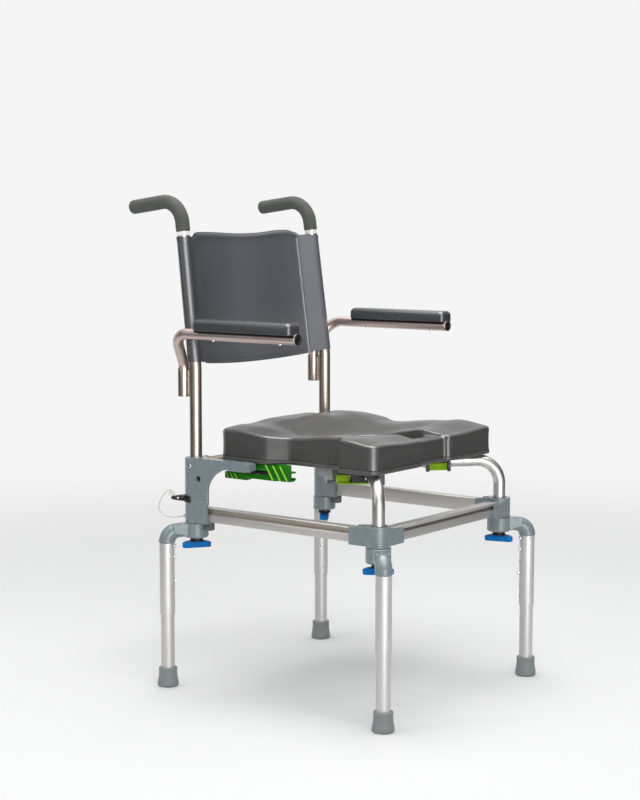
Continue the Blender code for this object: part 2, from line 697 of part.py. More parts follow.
def rear_cross_tube():
    reach = HALF_W - POST_R - 0.0045
    line = [(Vector((-reach, HALF_D, CROSS_Z)), Vector((1, 0, 0))), (Vector((reach, HALF_D, CROSS_Z)), Vector((1, 0, 0)))]
    return finish("rear_cross_tube", pipe(line, POST_R, TUBE_WALL, 16), NICKEL)


def post_place(z):
    """Centre of the right back post at a height."""
    rise = max(0.0, z - POST_BEND_Z)
    whole = GRIP_CORNER_Z - POST_BEND_Z
    return (-HALF_W + (HALF_W - POST_TOP_X) * rise / whole, HALF_D + POST_LEAN * rise)


def post_line(start, end_cut):
    """Centreline of the right post from its foot, round the bend and back into the grip."""
    top = post_place(GRIP_CORNER_Z)
    corner = Vector((top[0], top[1], GRIP_CORNER_Z))
    back = Vector((0.0, 1.0, -POST_LEAN)).normalized()
    tip = corner + back * (GRIP_LENGTH - end_cut)
    if start <= POST_BEND_Z:
        route = [(-HALF_W, HALF_D, start), (-HALF_W, HALF_D, POST_BEND_Z), corner, tip]
        return fillet(route, [0.10, GRIP_BEND])
    low = post_place(start)
    return fillet([(low[0], low[1], start), corner, tip], GRIP_BEND)


def back_post(side):
    """Bent post with the armrest sleeve welded behind it."""
    tube = pipe(post_line(POST_FOOT, GRIP_END), POST_R, TUBE_WALL, 16)
    sleeve = revolve([(SLEEVE_R, SLEEVE_BOTTOM), (SLEEVE_R, SLEEVE_TOP), (ARM_R + GAP, SLEEVE_TOP),
                      (ARM_R + GAP, SLEEVE_BOTTOM)], 16, (-HALF_W, SLEEVE_Y))
    web = box(-HALF_W - 0.003, -HALF_W + 0.003, HALF_D + POST_R - 0.0012, SLEEVE_Y - SLEEVE_R + 0.0010,
              SLEEVE_BOTTOM + 0.004, SLEEVE_TOP - 0.004)
    body = union(tube, sleeve, web)
    if side == "right":
        body = cut(body, pin_bar(0.0, 0.040, 0.0036, 8))
    return finish("back_post_" + side, body, NICKEL, mirror=side == "left")


def push_grip(side):
    """Foam sleeve over the end of the post, closed and rounded at the tip."""
    bm = bmesh.new()
    outer_line = post_line(GRIP_FROM_Z, 0.0)
    inner_line = post_line(GRIP_FROM_Z, GRIP_END - GAP)
    tip, back = outer_line[-1]
    stations = [(p, t, GRIP_R) for p, t in outer_line[:-1]]
    for step, scale in ((0.0065, 1.0), (0.0030, 0.92), (0.0008, 0.72), (0.0, 0.42)):
        stations.append((tip - back * step, back, GRIP_R * scale))
    first = stations[0]
    stations[0] = (first[0], first[1], GRIP_R - 0.0010)
    stations.insert(1, (first[0] + first[1] * 0.0012, first[1], GRIP_R))
    outer = skin(bm, stations, 16)
    inner = skin(bm, [(p, t, POST_R + GAP) for p, t in inner_line], 16)
    annulus(bm, outer[0], inner[0])
    close_fan(bm, outer[-1])
    close_fan(bm, inner[-1])
    bmesh.ops.recalc_face_normals(bm, faces=bm.faces)
    return finish("push_grip_" + side, bm, FOAM, mirror=side == "left")


def sling_section():
    """Loops of the sling's section: (post side, x, y) with x, y from a post or along the band."""
    inner_r = POST_R + GAP
    outer_r = inner_r + SLING_WRAP
    stretch = math.hypot(1.0, POST_LEAN)
    steps = 10
    half = SLING_THICK / 2
    lift = math.asin(half / outer_r)
    outer = []
    holes = []
    for side in (-1.0, 1.0):
        hole = []
        for i in range(16):
            angle = 2 * math.pi * i / 16
            hole.append((side, inner_r * math.cos(angle), stretch * inner_r * math.sin(angle)))
        holes.append(hole)
    for i in range(9):
        angle = lift + (2 * math.pi - 2 * lift) * i / 8
        outer.append((-1.0, outer_r * math.cos(angle), outer_r * math.sin(angle)))
    for i in range(1, steps):
        outer.append((0.0, -1.0 + 2.0 * i / steps, -half))
    for i in range(9):
        angle = math.pi + lift + (2 * math.pi - 2 * lift) * i / 8
        outer.append((1.0, outer_r * math.cos(angle), outer_r * math.sin(angle)))
    for i in range(1, steps):
        outer.append((0.0, 1.0 - 2.0 * i / steps, half))
    return outer, holes


def sling_point(spec, share):
    """Place of one section point at a share of the sling's height."""
    kind, a, b = spec
    inner_span = HALF_W - 0.016
    if kind == 0.0:
        across = abs(a)
    else:
        across = 1.0
    middle = 1.0 - across * across
    low = SLING_BOTTOM - SLING_SAG * middle
    high = SLING_TOP + (0.0075 * ease(across, 0.0, 0.9) - 0.0005 if kind == 0.0 else 0.0)
    z = low + (high - low) * share
    px, py = post_place(z)
    if kind == 0.0:
        x = a * (inner_span - (HALF_W + px))
        y = py + b + SLING_BOW * middle
    else:
        x = (px if kind < 0 else -px) + a
        y = py + b
    return Vector((x, y, z))


def back_sling():
    """Cloth wrapped round both posts and stretched between them, bowed to the rear."""
    outer, holes = sling_section()
    loops = [outer] + holes
    shares = (0.0, 0.12, 0.31, 0.5, 0.69, 0.88, 0.97, 1.0)
    bm = bmesh.new()
    grid = [[[bm.verts.new(sling_point(spec, share)) for spec in loop] for loop in loops] for share in shares]
    for low, high in zip(grid, grid[1:]):
        for a, b in zip(low, high):
            for i in range(len(a)):
                j = (i + 1) % len(a)
                bm.faces.new((a[i], a[j], b[j], b[i]))
    for level in (grid[0], grid[-1]):
        flat = [v for loop in level for v in loop]
        for tri in tessellate_polygon([[Vector((v.co.x, v.co.y, 0.0)) for v in loop] for loop in level]):
            bm.faces.new([flat[i] for i in tri])
    bmesh.ops.recalc_face_normals(bm, faces=bm.faces)
    return finish("back_sling", bm, SLING_LOOK)


def arm_line(start):
    """Centreline of the right armrest tube from its sleeve to the front end."""
    return fillet([(-HALF_W, SLEEVE_Y, start), (-HALF_W, SLEEVE_Y, SLEEVE_TOP + 0.0085), (-ARM_X, ARM_BACK, ARM_Z),
                   (-ARM_X, ARM_FRONT, ARM_Z)], [0.025, ARM_BEND])


def arm_origin(side):
    return (SIDES[side] * HALF_W, SLEEVE_Y, 0.0)


def arm_tube(side):
    body = pipe(arm_line(SLEEVE_BOTTOM + 0.001), ARM_R, TUBE_WALL, 16)
    return finish("arm_tube_" + side, body, NICKEL, arm_origin(side), mirror=side == "left")


def rounded_rect(x0, x1, y0, y1, radius, steps):
    outline = []
    for cx, cy, start in ((x1 - radius, y1 - radius, 0), (x0 + radius, y1 - radius, 90),
                          (x0 + radius, y0 + radius, 180), (x1 - radius, y0 + radius, 270)):
        for i in range(steps + 1):
            angle = math.radians(start + 90 * i / steps)
            outline.append((cx + radius * math.cos(angle), cy + radius * math.sin(angle)))
    return outline


def layered(outlines):
    """Closed solid through a stack of same-length outlines given as (points, z)."""
    bm = bmesh.new()
    rings = [[bm.verts.new((x, y, z)) for x, y in points] for points, z in outlines]
    for a, b in zip(rings, rings[1:]):
        for i in range(len(a)):
            j = (i + 1) % len(a)
            bm.faces.new((a[i], a[j], b[j], b[i]))
    bm.faces.new(list(reversed(rings[0])))
    bm.faces.new(rings[-1])
    bmesh.ops.recalc_face_normals(bm, faces=bm.faces)
    return bm


def arm_pad(side):
    """Rounded pad, chamfered along its top, grooved below for the tube."""
    def ring(inset):
        return rounded_rect(-PAD_X - PAD_HALF + inset, -PAD_X + PAD_HALF - inset, PAD_FRONT + inset, PAD_BACK - inset,
                            PAD_CORNER - inset * 0.5, 4)
    body = layered([(ring(0.0012), PAD_BOTTOM), (ring(0.0), PAD_BOTTOM + 0.0012), (ring(0.0), PAD_TOP - 0.0060),
                    (ring(0.0012), PAD_TOP - 0.0025), (ring(0.0045), PAD_TOP)])
    groove = bar([(Vector((-ARM_X, PAD_FRONT - 0.02, ARM_Z)), Vector((0, 1, 0))),
                  (Vector((-ARM_X, PAD_BACK + 0.02, ARM_Z)), Vector((0, 1, 0)))], ARM_R + GAP, 16)
    body = cut(body, groove)
    return finish("arm_pad_" + side, body, PAD_LOOK, arm_origin(side), mirror=side == "left")


def arm_plug(side):
    """Black plug in the front end of the armrest tube."""
    spin = Matrix.Translation((-ARM_X, ARM_FRONT, ARM_Z)) @ Matrix.Rotation(math.pi / 2, 4, "X")
    bore = ARM_R - TUBE_WALL - GAP
    body = revolve([(0.0, -0.012), (bore, -0.012), (bore, GAP), (ARM_R, GAP), (ARM_R, 0.0018), (ARM_R - 0.0012, 0.0030),
                    (0.0, 0.0030)], 16)
    turn(body, spin)
    return finish("arm_plug_" + side, body, BLACK, arm_origin(side), mirror=side == "left")


def seat_outline(outset=0.0):
    """Outline of the seat, anticlockwise from the middle of the front."""
    def arc(cx, cy, radius, start, sweep, steps):
        pts = []
        for i in range(steps + 1):
            angle = math.radians(start + sweep * i / steps)
            pts.append((cx + radius * math.cos(angle), cy + radius * math.sin(angle)))
        return pts
    front = SEAT_FRONT
    back = SEAT_BACK
    inner = BRIDGE_HALF
    half = [(0.0, BRIDGE_FRONT), (inner - 0.024, BRIDGE_FRONT), (inner - 0.004, BRIDGE_FRONT),
            (inner, BRIDGE_FRONT - 0.003), (inner + 0.004, front + 0.002), (inner + 0.009, front),
            (inner + 0.026, front), (SEAT_X - 0.112, front), (SEAT_X - 0.080, front), (SEAT_X - 0.045, front)]
    half += arc(SEAT_X - 0.014, front + 0.014, 0.014, -90, 90, 4)
    half += [(SEAT_X, front + 0.048), (SEAT_X, front + 0.082), (SEAT_X - 0.003, front + 0.089),
             (WAIST_X + 0.003, front + 0.097), (WAIST_X, front + 0.104), (WAIST_X, front + 0.138),
             (WAIST_X, front + 0.173), (WAIST_X, front + 0.203), (WAIST_X, front + 0.225),
             (WAIST_X + 0.002, front + 0.231), (SEAT_X - 0.002, front + 0.269), (SEAT_X, front + 0.276),
             (SEAT_X, back - 0.095), (SEAT_X, back - 0.065)]
    half += arc(SEAT_X - 0.030, back - 0.030, 0.030, 0, 90, 5)
    half += [(SEAT_X - 0.065, back), (SEAT_X - 0.105, back), (SEAT_X - 0.145, back), (SEAT_X - 0.180, back),
             (0.0, back)]
    loop = half + [(-x, y) for x, y in reversed(half[1:-1])]
    if not outset:
        return loop
    moved = []
    for i, (x, y) in enumerate(loop):
        ax, ay = loop[i - 1]
        bx, by = loop[(i + 1) % len(loop)]
        length = math.hypot(bx - ax, by - ay)
        moved.append((x + outset * (by - ay) / length, y - outset * (bx - ax) / length))
    return moved


def opening_point(x, y, margin=0.0):
    """Point of the opening's rim on the ray from its centre through x, y."""
    a = OPENING_A + margin
    b = OPENING_B + margin
    dx = x
    dy = y - OPENING_Y
    scale = (abs(dx / a) ** 2.6 + abs(dy / b) ** 2.6) ** (-1 / 2.6)
    return (dx * scale, OPENING_Y + dy * scale)


def seat_height(x, y):
    """Top of the cushion: domed lobes at the front, rising waist, dished middle and crowned back."""
    ax = abs(x)
    behind = y - SEAT_FRONT
    crown = ease(behind, 0.238, 0.343)
    fall = ease(y - SEAT_BACK, -0.025, 0.005)
    rise = 0.0100 * (1.0 - ease(behind, 0.113, 0.231))
    dome = 0.0012 * (1.0 - ease(behind, 0.083, 0.118)) - 0.0085 * (1.0 - ease(behind, 0.0, 0.078))
    side = SEAT_RIM_Z + rise + dome + 0.0085 * crown - 0.0030 * fall
    middle = SEAT_DISH_Z + 0.0355 * crown - 0.0050 * fall
    z = middle + (side - middle) * ease(ax, 0.050, 0.150)
    lobe = side - 0.0045 * (1.0 - ease(ax, 0.090, 0.190)) * (1.0 - ease(behind, 0.098, 0.158))
    z += (lobe - z) * (1.0 - ease(behind, 0.053, 0.198))
    if behind < 0.088:
        across = ax * (OPENING_Y - SEAT_FRONT) / (OPENING_Y - y)
        z = BRIDGE_Z + (z - BRIDGE_Z) * ease(across, BRIDGE_HALF + 0.0010, BRIDGE_HALF + 0.0046)
    z += 0.0065 * crown * math.exp(-((ax - 0.160) / 0.045) ** 2) * (1.0 - 0.4 * fall)
    return z


def seat_cushion():
    """Contoured cushion with the commode opening right through it."""
    edge = seat_outline()
    rim = [opening_point(x, y) for x, y in edge]
    bottom = TRAY_TOP + GAP

    def inset(points, amount):
        out = []
        for (x, y), (rx, ry) in zip(points, rim):
            d = math.hypot(rx - x, ry - y)
            out.append((x + (rx - x) * amount / d, y + (ry - y) * amount / d))
        return out

    def ring(points, drop):
        return [(x, y, seat_height(x, y) - drop) for x, y in points]

    layers = [[(x, y, bottom) for x, y in edge]]
    layers.append(ring(edge, EDGE_ROUND))
    layers.append(ring(inset(edge, 0.0024), EDGE_ROUND * 0.30))
    start = inset(edge, EDGE_ROUND)
    wide = [opening_point(x, y, 0.006) for x, y in edge]
    layers.append(ring(start, 0.0))
    for share in (0.18, 0.39, 0.61, 0.82):
        layers.append(ring([(x + (wx - x) * share, y + (wy - y) * share)
                            for (x, y), (wx, wy) in zip(start, wide)], 0.0))
    layers.append(ring(wide, 0.0))
    layers.append(ring(rim, 0.0050))
    layers.append([(x, y, bottom) for x, y in rim])
    bm = bmesh.new()
    rings = [[bm.verts.new(p) for p in layer] for layer in layers]
    for a, b in zip(rings, rings[1:] + rings[:1]):
        for i in range(len(a)):
            j = (i + 1) % len(a)
            bm.faces.new((a[i], a[j], b[j], b[i]))
    bmesh.ops.recalc_face_normals(bm, faces=bm.faces)
    return finish("seat_cushion", bm, CUSHION_LOOK)


def clip_frame():
    """Matrix from clip coordinates to the chair, for the right seat tube."""
    ux, uy = SEAT_DIR
    length = math.hypot(ux, uy)
    ux /= length
    uy /= length
    at = (-HALF_W + ux * CLIP_AT, -HALF_D + uy * CLIP_AT)
    return Matrix(((ux, -uy, 0.0, at[0]), (uy, ux, 0.0, at[1]), (0.0, 0.0, 1.0, 0.0), (0.0, 0.0, 0.0, 1.0)))


def seat_tray():
    """Stiff tray under the cushion, with the opening, a recess for each clip and a guide fin each side."""
    loop = seat_outline(TRAY_LIP)
    hole = [opening_point(x, y, -0.001) for x, y in loop]
    bm = bmesh.new()
    edge = 0.0015
    soft = [(x * 0.996, y * 0.996) for x, y in loop]
    layers = [[(x, y, TRAY_BOTTOM) for x, y in soft], [(x, y, TRAY_BOTTOM + edge) for x, y in loop],
              [(x, y, TRAY_TOP) for x, y in loop], [(x, y, TRAY_TOP) for x, y in hole],
              [(x, y, TRAY_BOTTOM) for x, y in hole]]
    rings = [[bm.verts.new(p) for p in layer] for layer in layers]
    for a, b in zip(rings, rings[1:] + rings[:1]):
        for i in range(len(a)):
            j = (i + 1) % len(a)
            bm.faces.new((a[i], a[j], b[j], b[i]))
    bmesh.ops.recalc_face_normals(bm, faces=bm.faces)
    for side in (1.0, -1.0):
        front = SEAT_FRONT + 0.142
        back = SEAT_FRONT + 0.178
        fin = prism([(back, TRAY_BOTTOM + 0.002), (back, 0.4625), (front + 0.002, 0.4540), (front, 0.4560),
                     (front, TRAY_BOTTOM + 0.002)], side * (0.054 - SEAT_X), side * (0.065 - SEAT_X), axis="x")
        bm = combine(bm, fin, "UNION")
    for side in (1.0, -1.0):
        low = TRAY_BOTTOM - 0.01
        wide = box(-CLIP_HALF - GAP, CLIP_HALF + GAP, CLIP_FRONT - GAP, CLIP_STEP + GAP, low, CLIP_TOP + GAP)
        slim = box(-CLIP_NECK - GAP, CLIP_NECK + GAP, CLIP_STEP - 0.001, CLIP_BACK + GAP, low, CLIP_TOP + GAP)
        pocket = union(wide, slim)
        turn(pocket, Matrix.Diagonal((side, 1.0, 1.0, 1.0)) @ clip_frame())
        bm = combine(bm, pocket, "DIFFERENCE")
    return finish("seat_tray", bm, TRAY_LOOK)


def front_clip(side):
    """Saddle over the seat tube: top plate let into the tray, front beam with two ears, rear block."""
    reach = SEAT_TUBE_R + 0.0008
    top = box(-CLIP_HALF, CLIP_HALF, CLIP_FRONT, CLIP_STEP, TRAY_BOTTOM - 0.0007, CLIP_TOP)
    beam = box(-CLIP_HALF, CLIP_HALF, CLIP_FRONT, -reach, CLIP_BEAM_Z, CLIP_TOP - 0.001)
    ear_a = box(-CLIP_HALF, -CLIP_HALF + CLIP_EAR, CLIP_FRONT - 0.0030, -reach, CLIP_EAR_Z, CLIP_BEAM_Z + 0.004)
    ear_b = box(CLIP_HALF - CLIP_EAR, CLIP_HALF, CLIP_FRONT - 0.0030, -reach, CLIP_EAR_Z, CLIP_BEAM_Z + 0.004)
    block = box(-CLIP_HALF, CLIP_HALF, reach, CLIP_STEP, 0.4548, CLIP_TOP - 0.001)
    shelf = box(-CLIP_NECK, CLIP_NECK, CLIP_STEP - 0.001, CLIP_BACK, 0.4690, CLIP_TOP)
    body = union(top, beam, ear_a, ear_b, block, shelf)
    turn(body, clip_frame())
    return finish("front_clip_" + side, body, BLACK, mirror=side == "left")


def clip_origin(side):
    at = clip_frame() @ Vector((0.0, CLIP_HINGE[0], CLIP_HINGE[1]))
    return (at.x * -SIDES[side], at.y, at.z)


def clip_lever(side):
    """Lime catch hinged between the ears, passing under the tube to its thumb tab."""
    wide = CLIP_HALF - CLIP_EAR - 0.0004
    low = 0.4503
    profile = [(-0.0212, low + 0.0015), (-0.0200, low), (0.066, low), (0.068, low + 0.0020), (0.068, 0.4672),
               (0.066, 0.4680), (0.043, 0.4680), (0.0425, 0.4600), (0.0425, low + 0.0033), (-0.0137, low + 0.0033),
               (-0.0137, 0.4650), (-0.0150, 0.4662), (-0.0200, 0.4662), (-0.0212, 0.4650)]
    body = prism(profile, -wide, wide, axis="x")
    trim_a = box(-wide - 0.01, -0.0130, 0.0415, 0.08, low + 0.0033, 0.48)
    trim_b = box(0.0130, wide + 0.01, 0.0415, 0.08, low + 0.0033, 0.48)
    body = cut(body, trim_a, trim_b)
    turn(body, clip_frame())
    return finish("clip_lever_" + side, body, LIME, clip_origin(side), mirror=side == "left")


def rear_latch(side):
    """Green sliding latch: ribbed plate with two shelves, two bars and a smaller ribbed block behind."""
    top = TRAY_BOTTOM - GAP
    front = LATCH_FRONT
    back = LATCH_BACK
    out = -LATCH_OUT
    into = -LATCH_IN
    plate = prism([(front, 0.4545), (front + 0.006, 0.4495), (front + 0.0465, 0.4495), (front + 0.0655, top),
                   (front, top)], out, out + LATCH_PLATE, axis="x")
    shelf = box(out + 0.002, into, front, front + 0.058, 0.4665, 0.4695)
    lip = prism([(out + 0.001, 0.4502), (into - 0.005, 0.4502), (into, 0.4540), (into, 0.4565), (into - 0.006, 0.4535),
                 (out + 0.001, 0.4535)], front, front + 0.045, axis="y")
    bars = prism([(front + 0.040, 0.4482), (front + 0.114, 0.4482), (front + 0.116, 0.4435), (back - 0.002, 0.4435),
                  (back, 0.4455), (back, 0.4570), (front + 0.116, 0.4580), (front + 0.056, 0.4580),
                  (front + 0.060, 0.4670), (front + 0.100, 0.4670), (front + 0.100, top), (front + 0.045, top)],
                 out + 0.002, into, axis="x")
    body = union(bars, plate, shelf, lip)
    for low_y, high_y, low_z, high_z in ((front + 0.0430, front + 0.0620, 0.4505, top - 0.001),
                                         (front + 0.0240, front + 0.0430, 0.4505, top - 0.001),
                                         (front + 0.0060, front + 0.0245, 0.4505, top - 0.001)):
        rib = prism([(low_y, low_z), (low_y + 0.0022, low_z), (high_y + 0.0022, high_z), (high_y, high_z)],
                    out - 0.0014, out + 0.001, axis="x")
        body = combine(body, rib, "UNION")
    for low_y, high_y in ((back - 0.015, back - 0.007), (back - 0.035, back - 0.028)):
        rib = prism([(low_y, 0.4450), (low_y + 0.0022, 0.4450), (high_y + 0.0022, 0.4560), (high_y, 0.4560)],
                    out + 0.0006, out + 0.003, axis="x")
        body = combine(body, rib, "UNION")
    return finish("rear_latch_" + side, body, GREEN, (SIDES[side] * (LATCH_OUT + LATCH_IN) / 2, front, 0.46),
                  mirror=side == "left")


def pin_point(reach, z, across=0.0):
    """World point at a distance out from the right post's axis along the pin."""
    return Vector((-HALF_W + PIN_DIR[0] * reach - PIN_DIR[1] * across,
                   HALF_D + PIN_DIR[1] * reach + PIN_DIR[0] * across, z))


def pin_bar(start, end, radius, sides):
    way = Vector((PIN_DIR[0], PIN_DIR[1], 0.0))
    return bar([(pin_point(start, PIN_Z), way), (pin_point(end, PIN_Z), way)], radius, sides)


def retaining_pin():
    """Black pin through bracket and post, with its collar and a pierced finger tab."""
    shaft = pin_bar(0.0085, 0.0250, 0.0032, 10)
    collar = pin_bar(BOSS_R + 0.0006, 0.0315, 0.0068, 14)
    tab = bmesh.new()
    rings = []
    for reach, high, thick in ((0.0305, 0.0060, 0.0040), (0.0400, 0.0052, 0.0034), (0.0480, 0.0036, 0.0028),
                               (PIN_REACH, 0.0024, 0.0022)):
        rings.append([tab.verts.new(pin_point(reach, PIN_Z + z, a)) for z, a in
                      ((-high, -thick), (-high, thick), (high, thick), (high, -thick))])
    for a, b in zip(rings, rings[1:]):
        for i in range(4):
            tab.faces.new((a[i], a[(i + 1) % 4], b[(i + 1) % 4], b[i]))
    tab.faces.new(rings[0])
    tab.faces.new(rings[-1])
    bmesh.ops.recalc_face_normals(tab, faces=tab.faces)
    way = Vector((-PIN_DIR[1], PIN_DIR[0], 0.0))
    hole = bar([(pin_point(0.0385, PIN_Z - 0.0003, -0.01), way), (pin_point(0.0385, PIN_Z - 0.0003, 0.01), way)],
               0.0023, 8)
    body = union(shaft, collar, cut(tab, hole))
    at = pin_point(0.0, PIN_Z)
    return finish("retaining_pin", body, BLACK, (at.x, at.y, at.z))


def smooth_route(points, spacing):
    """Even points along a smooth curve through hand-chosen route points."""
    fine = []
    for k in range(len(points) - 1):
        p0 = points[max(k - 1, 0)]
        p1 = points[k]
        p2 = points[k + 1]
        p3 = points[min(k + 2, len(points) - 1)]
        for s in range(24):
            t = s / 24
            fine.append(0.5 * ((2 * p1) + (p2 - p0) * t + (2 * p0 - 5 * p1 + 4 * p2 - p3) * t * t
                               + (3 * p1 - p0 - 3 * p2 + p3) * t ** 3))
    fine.append(points[-1])
    lengths = [0.0]
    for a, b in zip(fine, fine[1:]):
        lengths.append(lengths[-1] + (b - a).length)
    count = max(2, round(lengths[-1] / spacing))
    even = []
    k = 0
    for i in range(count + 1):
        want = lengths[-1] * i / count
        while k < len(fine) - 2 and lengths[k + 1] < want:
            k += 1
        share = (want - lengths[k]) / max(lengths[k + 1] - lengths[k], 1e-9)
        even.append(fine[k].lerp(fine[k + 1], share))
    return even


def pin_lanyard():
    """Cord from the tab of the pin, round in a loop and back to the foot of the bracket."""
    route = [pin_point(0.0500, 0.4005), pin_point(0.0508, 0.4085), pin_point(0.0560, 0.4135), pin_point(0.0655, 0.4060),
             pin_point(0.0757, 0.3900), pin_point(0.0782, 0.3750), pin_point(0.0700, 0.3620), pin_point(0.0540, 0.3560),
             pin_point(0.0380, 0.3565), pin_point(0.0262, 0.3588), pin_point(BOSS_R + CORD_R + 0.0006, 0.3620)]
    curve = bpy.data.curves.new("pin_lanyard", "CURVE")
    curve.dimensions = "3D"
    curve.bevel_depth = CORD_R
    curve.bevel_resolution = 2
    curve.use_fill_caps = True
    spline = curve.splines.new("POLY")
    even = smooth_route(route, 6 * CORD_R)
    spline.points.add(len(even) - 1)
    for point, place in zip(spline.points, even):
        point.co = (*place, 1.0)
    obj = bpy.data.objects.new("pin_lanyard", curve)
    bpy.context.scene.collection.objects.link(obj)
    curve.materials.append(paint("mat_pin_lanyard", *CORD_LOOK))
    obj.parent = CHAIR
    return obj


for corner_name in CORNERS:
    leg_elbow(corner_name)
    leg_outer_tube(corner_name)
    leg_inner_tube(corner_name)
    leg_tip(corner_name)
    snap_button(corner_name)
    clamp_collar(corner_name)
    clamp_lever(corner_name)
for side_name in SIDES:
    side_rail(side_name)
    corner_connector(side_name)
    seat_tube(side_name)
    rear_bracket(side_name)
    back_post(side_name)
    push_grip(side_name)
    arm_tube(side_name)
    arm_pad(side_name)
    arm_plug(side_name)
    front_clip(side_name)
    clip_lever(side_name)
    rear_latch(side_name)
front_rail()
rear_cross_tube()
back_sling()
seat_tray()
seat_cushion()
retaining_pin()
pin_lanyard()
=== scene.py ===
import math

import bmesh
import bpy
from mathutils import Matrix, Vector, noise


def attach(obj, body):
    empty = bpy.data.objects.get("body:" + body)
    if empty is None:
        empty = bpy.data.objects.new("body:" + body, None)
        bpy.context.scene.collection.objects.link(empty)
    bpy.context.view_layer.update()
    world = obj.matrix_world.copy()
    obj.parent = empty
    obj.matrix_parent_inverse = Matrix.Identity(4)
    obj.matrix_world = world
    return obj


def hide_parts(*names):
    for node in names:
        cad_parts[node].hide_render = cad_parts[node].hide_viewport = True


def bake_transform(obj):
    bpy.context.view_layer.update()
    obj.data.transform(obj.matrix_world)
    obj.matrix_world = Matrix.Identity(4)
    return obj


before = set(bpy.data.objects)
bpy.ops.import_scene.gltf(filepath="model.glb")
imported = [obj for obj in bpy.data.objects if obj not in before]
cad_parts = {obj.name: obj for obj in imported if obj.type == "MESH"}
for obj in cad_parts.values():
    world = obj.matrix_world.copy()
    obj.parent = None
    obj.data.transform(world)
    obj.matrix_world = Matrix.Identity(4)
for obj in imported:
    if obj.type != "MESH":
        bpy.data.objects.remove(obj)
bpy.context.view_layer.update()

# Chair sizes, as in the CAD: metres from the centre of the four corner axes, on the floor
GAP = 0.0003                 # clearance between pieces
WELD = 0.00002               # points closer than this are one
HALF_W = 0.2205
HALF_D = 0.232
TUBE_R = 0.0127
TUBE_WALL = 0.0016
LEG_OUTER_R = 0.015875
LEG_INNER_R = 0.0142
LEG_BORE_R = LEG_INNER_R + 0.0003
LEG_REACH = 0.062
HUB_R = 0.025
HUB_BOTTOM = 0.3145
HUB_TOP = 0.3452
ELBOW_AXIS_Z = 0.3289
ELBOW_R = 0.017
ARM_NECK_R = 0.0140
ELBOW_BEND = 0.024
ELBOW_MOUTH = 0.3045
OUTER_BOTTOM = 0.153
OUTER_TOP = ELBOW_MOUTH - GAP
INNER_TOP = 0.235
HOLE_PITCH = 0.0254
RIVETS_Z = (0.2968, 0.2735)
BUTTON_Z = 0.2222
HOLE_R = 0.0041
BUTTON_R = 0.0037
BUTTON_REACH = 0.0205
BUTTON_RISE = 0.0022
TIP_SEAT = 0.0118
TIP_TOP = 0.0405
TIP_TOP_R = 0.0192
COLLAR_R = 0.013
COLLAR_BOTTOM = 0.3065
LEVER_BOTTOM = 0.2927
LEVER_ANGLES = {"front_right": 125.0, "front_left": -74.7, "rear_right": 146.0, "rear_left": 34.0}
STOP_BOTTOM = 0.3320
RAIL_HALF = 0.0125
RAIL_BOTTOM = 0.351
RAIL_TOP = 0.3800
GROOVE_BOTTOM = 0.3670
GROOVE_TOP = 0.3738
BOSS_R = 0.0235
BOSS_TOP = 0.3868
SOCKET_HALF = 0.0188
SOCKET_BOTTOM = 0.3474
SOCKET_RISE = 0.0040
SIDE_ARM_TOP = 0.3815
FRONT_ARM_TOP = 0.3775
SIDE_ARM = {"right": 0.0583, "left": 0.0490}
FRONT_ARM = {"right": 0.0608, "left": 0.0445}
SEAT_TUBE_AXIS_Z = 0.467
SEAT_DIR = (0.743, 0.669)
SEAT_TUBE_RUN = 0.168
BRACKET_TOP = 0.482
BRACKET_FACE = 0.0222
BRACKET_WALL = 0.024
BRACKET_END = HALF_D - 0.045
BRACKET_WEB = 0.006
BRACKET_SOCKET_TOP = 0.3840
BRACKET_ARM_BOTTOM = 0.4650
BRACKET_TIP_Y = HALF_D - 0.1595
CROSS_Z = 0.466
CROSS_BOSS_X = HALF_W - 0.0345
POST_FOOT = 0.3720
POST_BEND_Z = 0.670
POST_LEAN = 0.128
POST_TOP_X = HALF_W - 0.0065
GRIP_CORNER_Z = 1.0142
GRIP_CORNER_Y = HALF_D + POST_LEAN * (GRIP_CORNER_Z - POST_BEND_Z)
GRIP_FROM_Z = 0.9475
GRIP_R = 0.01475
GRIP_LENGTH = 0.1365
SLEEVE_Y = HALF_D + 0.032
SLEEVE_R = 0.0127
SLEEVE_BOTTOM = 0.607
SLEEVE_TOP = 0.6655
ARM_R = 0.011
ARM_X = HALF_W + 0.044
ARM_Z = 0.741
ARM_FRONT = -0.069
ARM_BACK = SLEEVE_Y - 0.016
PAD_X = ARM_X + 0.0035
PAD_HALF = 0.020
PAD_FRONT = -0.0665
PAD_BACK = 0.184
PAD_BOTTOM = 0.7475
PAD_TOP = 0.7725
SLING_BOTTOM = 0.6805
SLING_TOP = 0.9370
SLING_SPAN = HALF_W - 0.016
SLING_SEAM = 0.1612
SLING_SAG = 0.012
SLING_LEAN = math.radians(17.0)
SLING_WRAP = TUBE_R + GAP + 0.0012
# painted shade across the sling: these stops darken its base colour, most at the sitter's right edge
SLING_PAINTED_SHADE = ((0.0, 0.36), (0.04, 0.46), (0.09, 0.62), (0.30, 0.80), (0.45, 0.96), (0.72, 0.72), (0.86, 0.80),
               (0.90, 1.0), (1.0, 0.85))    # share of the way across: brightness
STITCH_IN = 0.0088           # hem's stitches from the sling's edge
STITCH_PITCH = 0.0040
STITCH_LENGTH = 0.0027
STITCH_R = 0.00032
TRAY_BOTTOM = 0.4810
TRAY_TOP = 0.4892
SEAT_X = HALF_W - 0.0055
SEAT_FRONT = 0.014 - HALF_D
BRIDGE_FRONT = SEAT_FRONT + 0.012
BRIDGE_HALF = 0.046
SEAT_BACK = HALF_D - 0.052
WAIST_X = SEAT_X - 0.028
OPENING_Y = SEAT_FRONT + 0.138
OPENING_A = 0.064
OPENING_B = 0.089
SEAT_RIM_Z = TRAY_TOP + 0.0463
SEAT_DISH_Z = TRAY_TOP + 0.0303
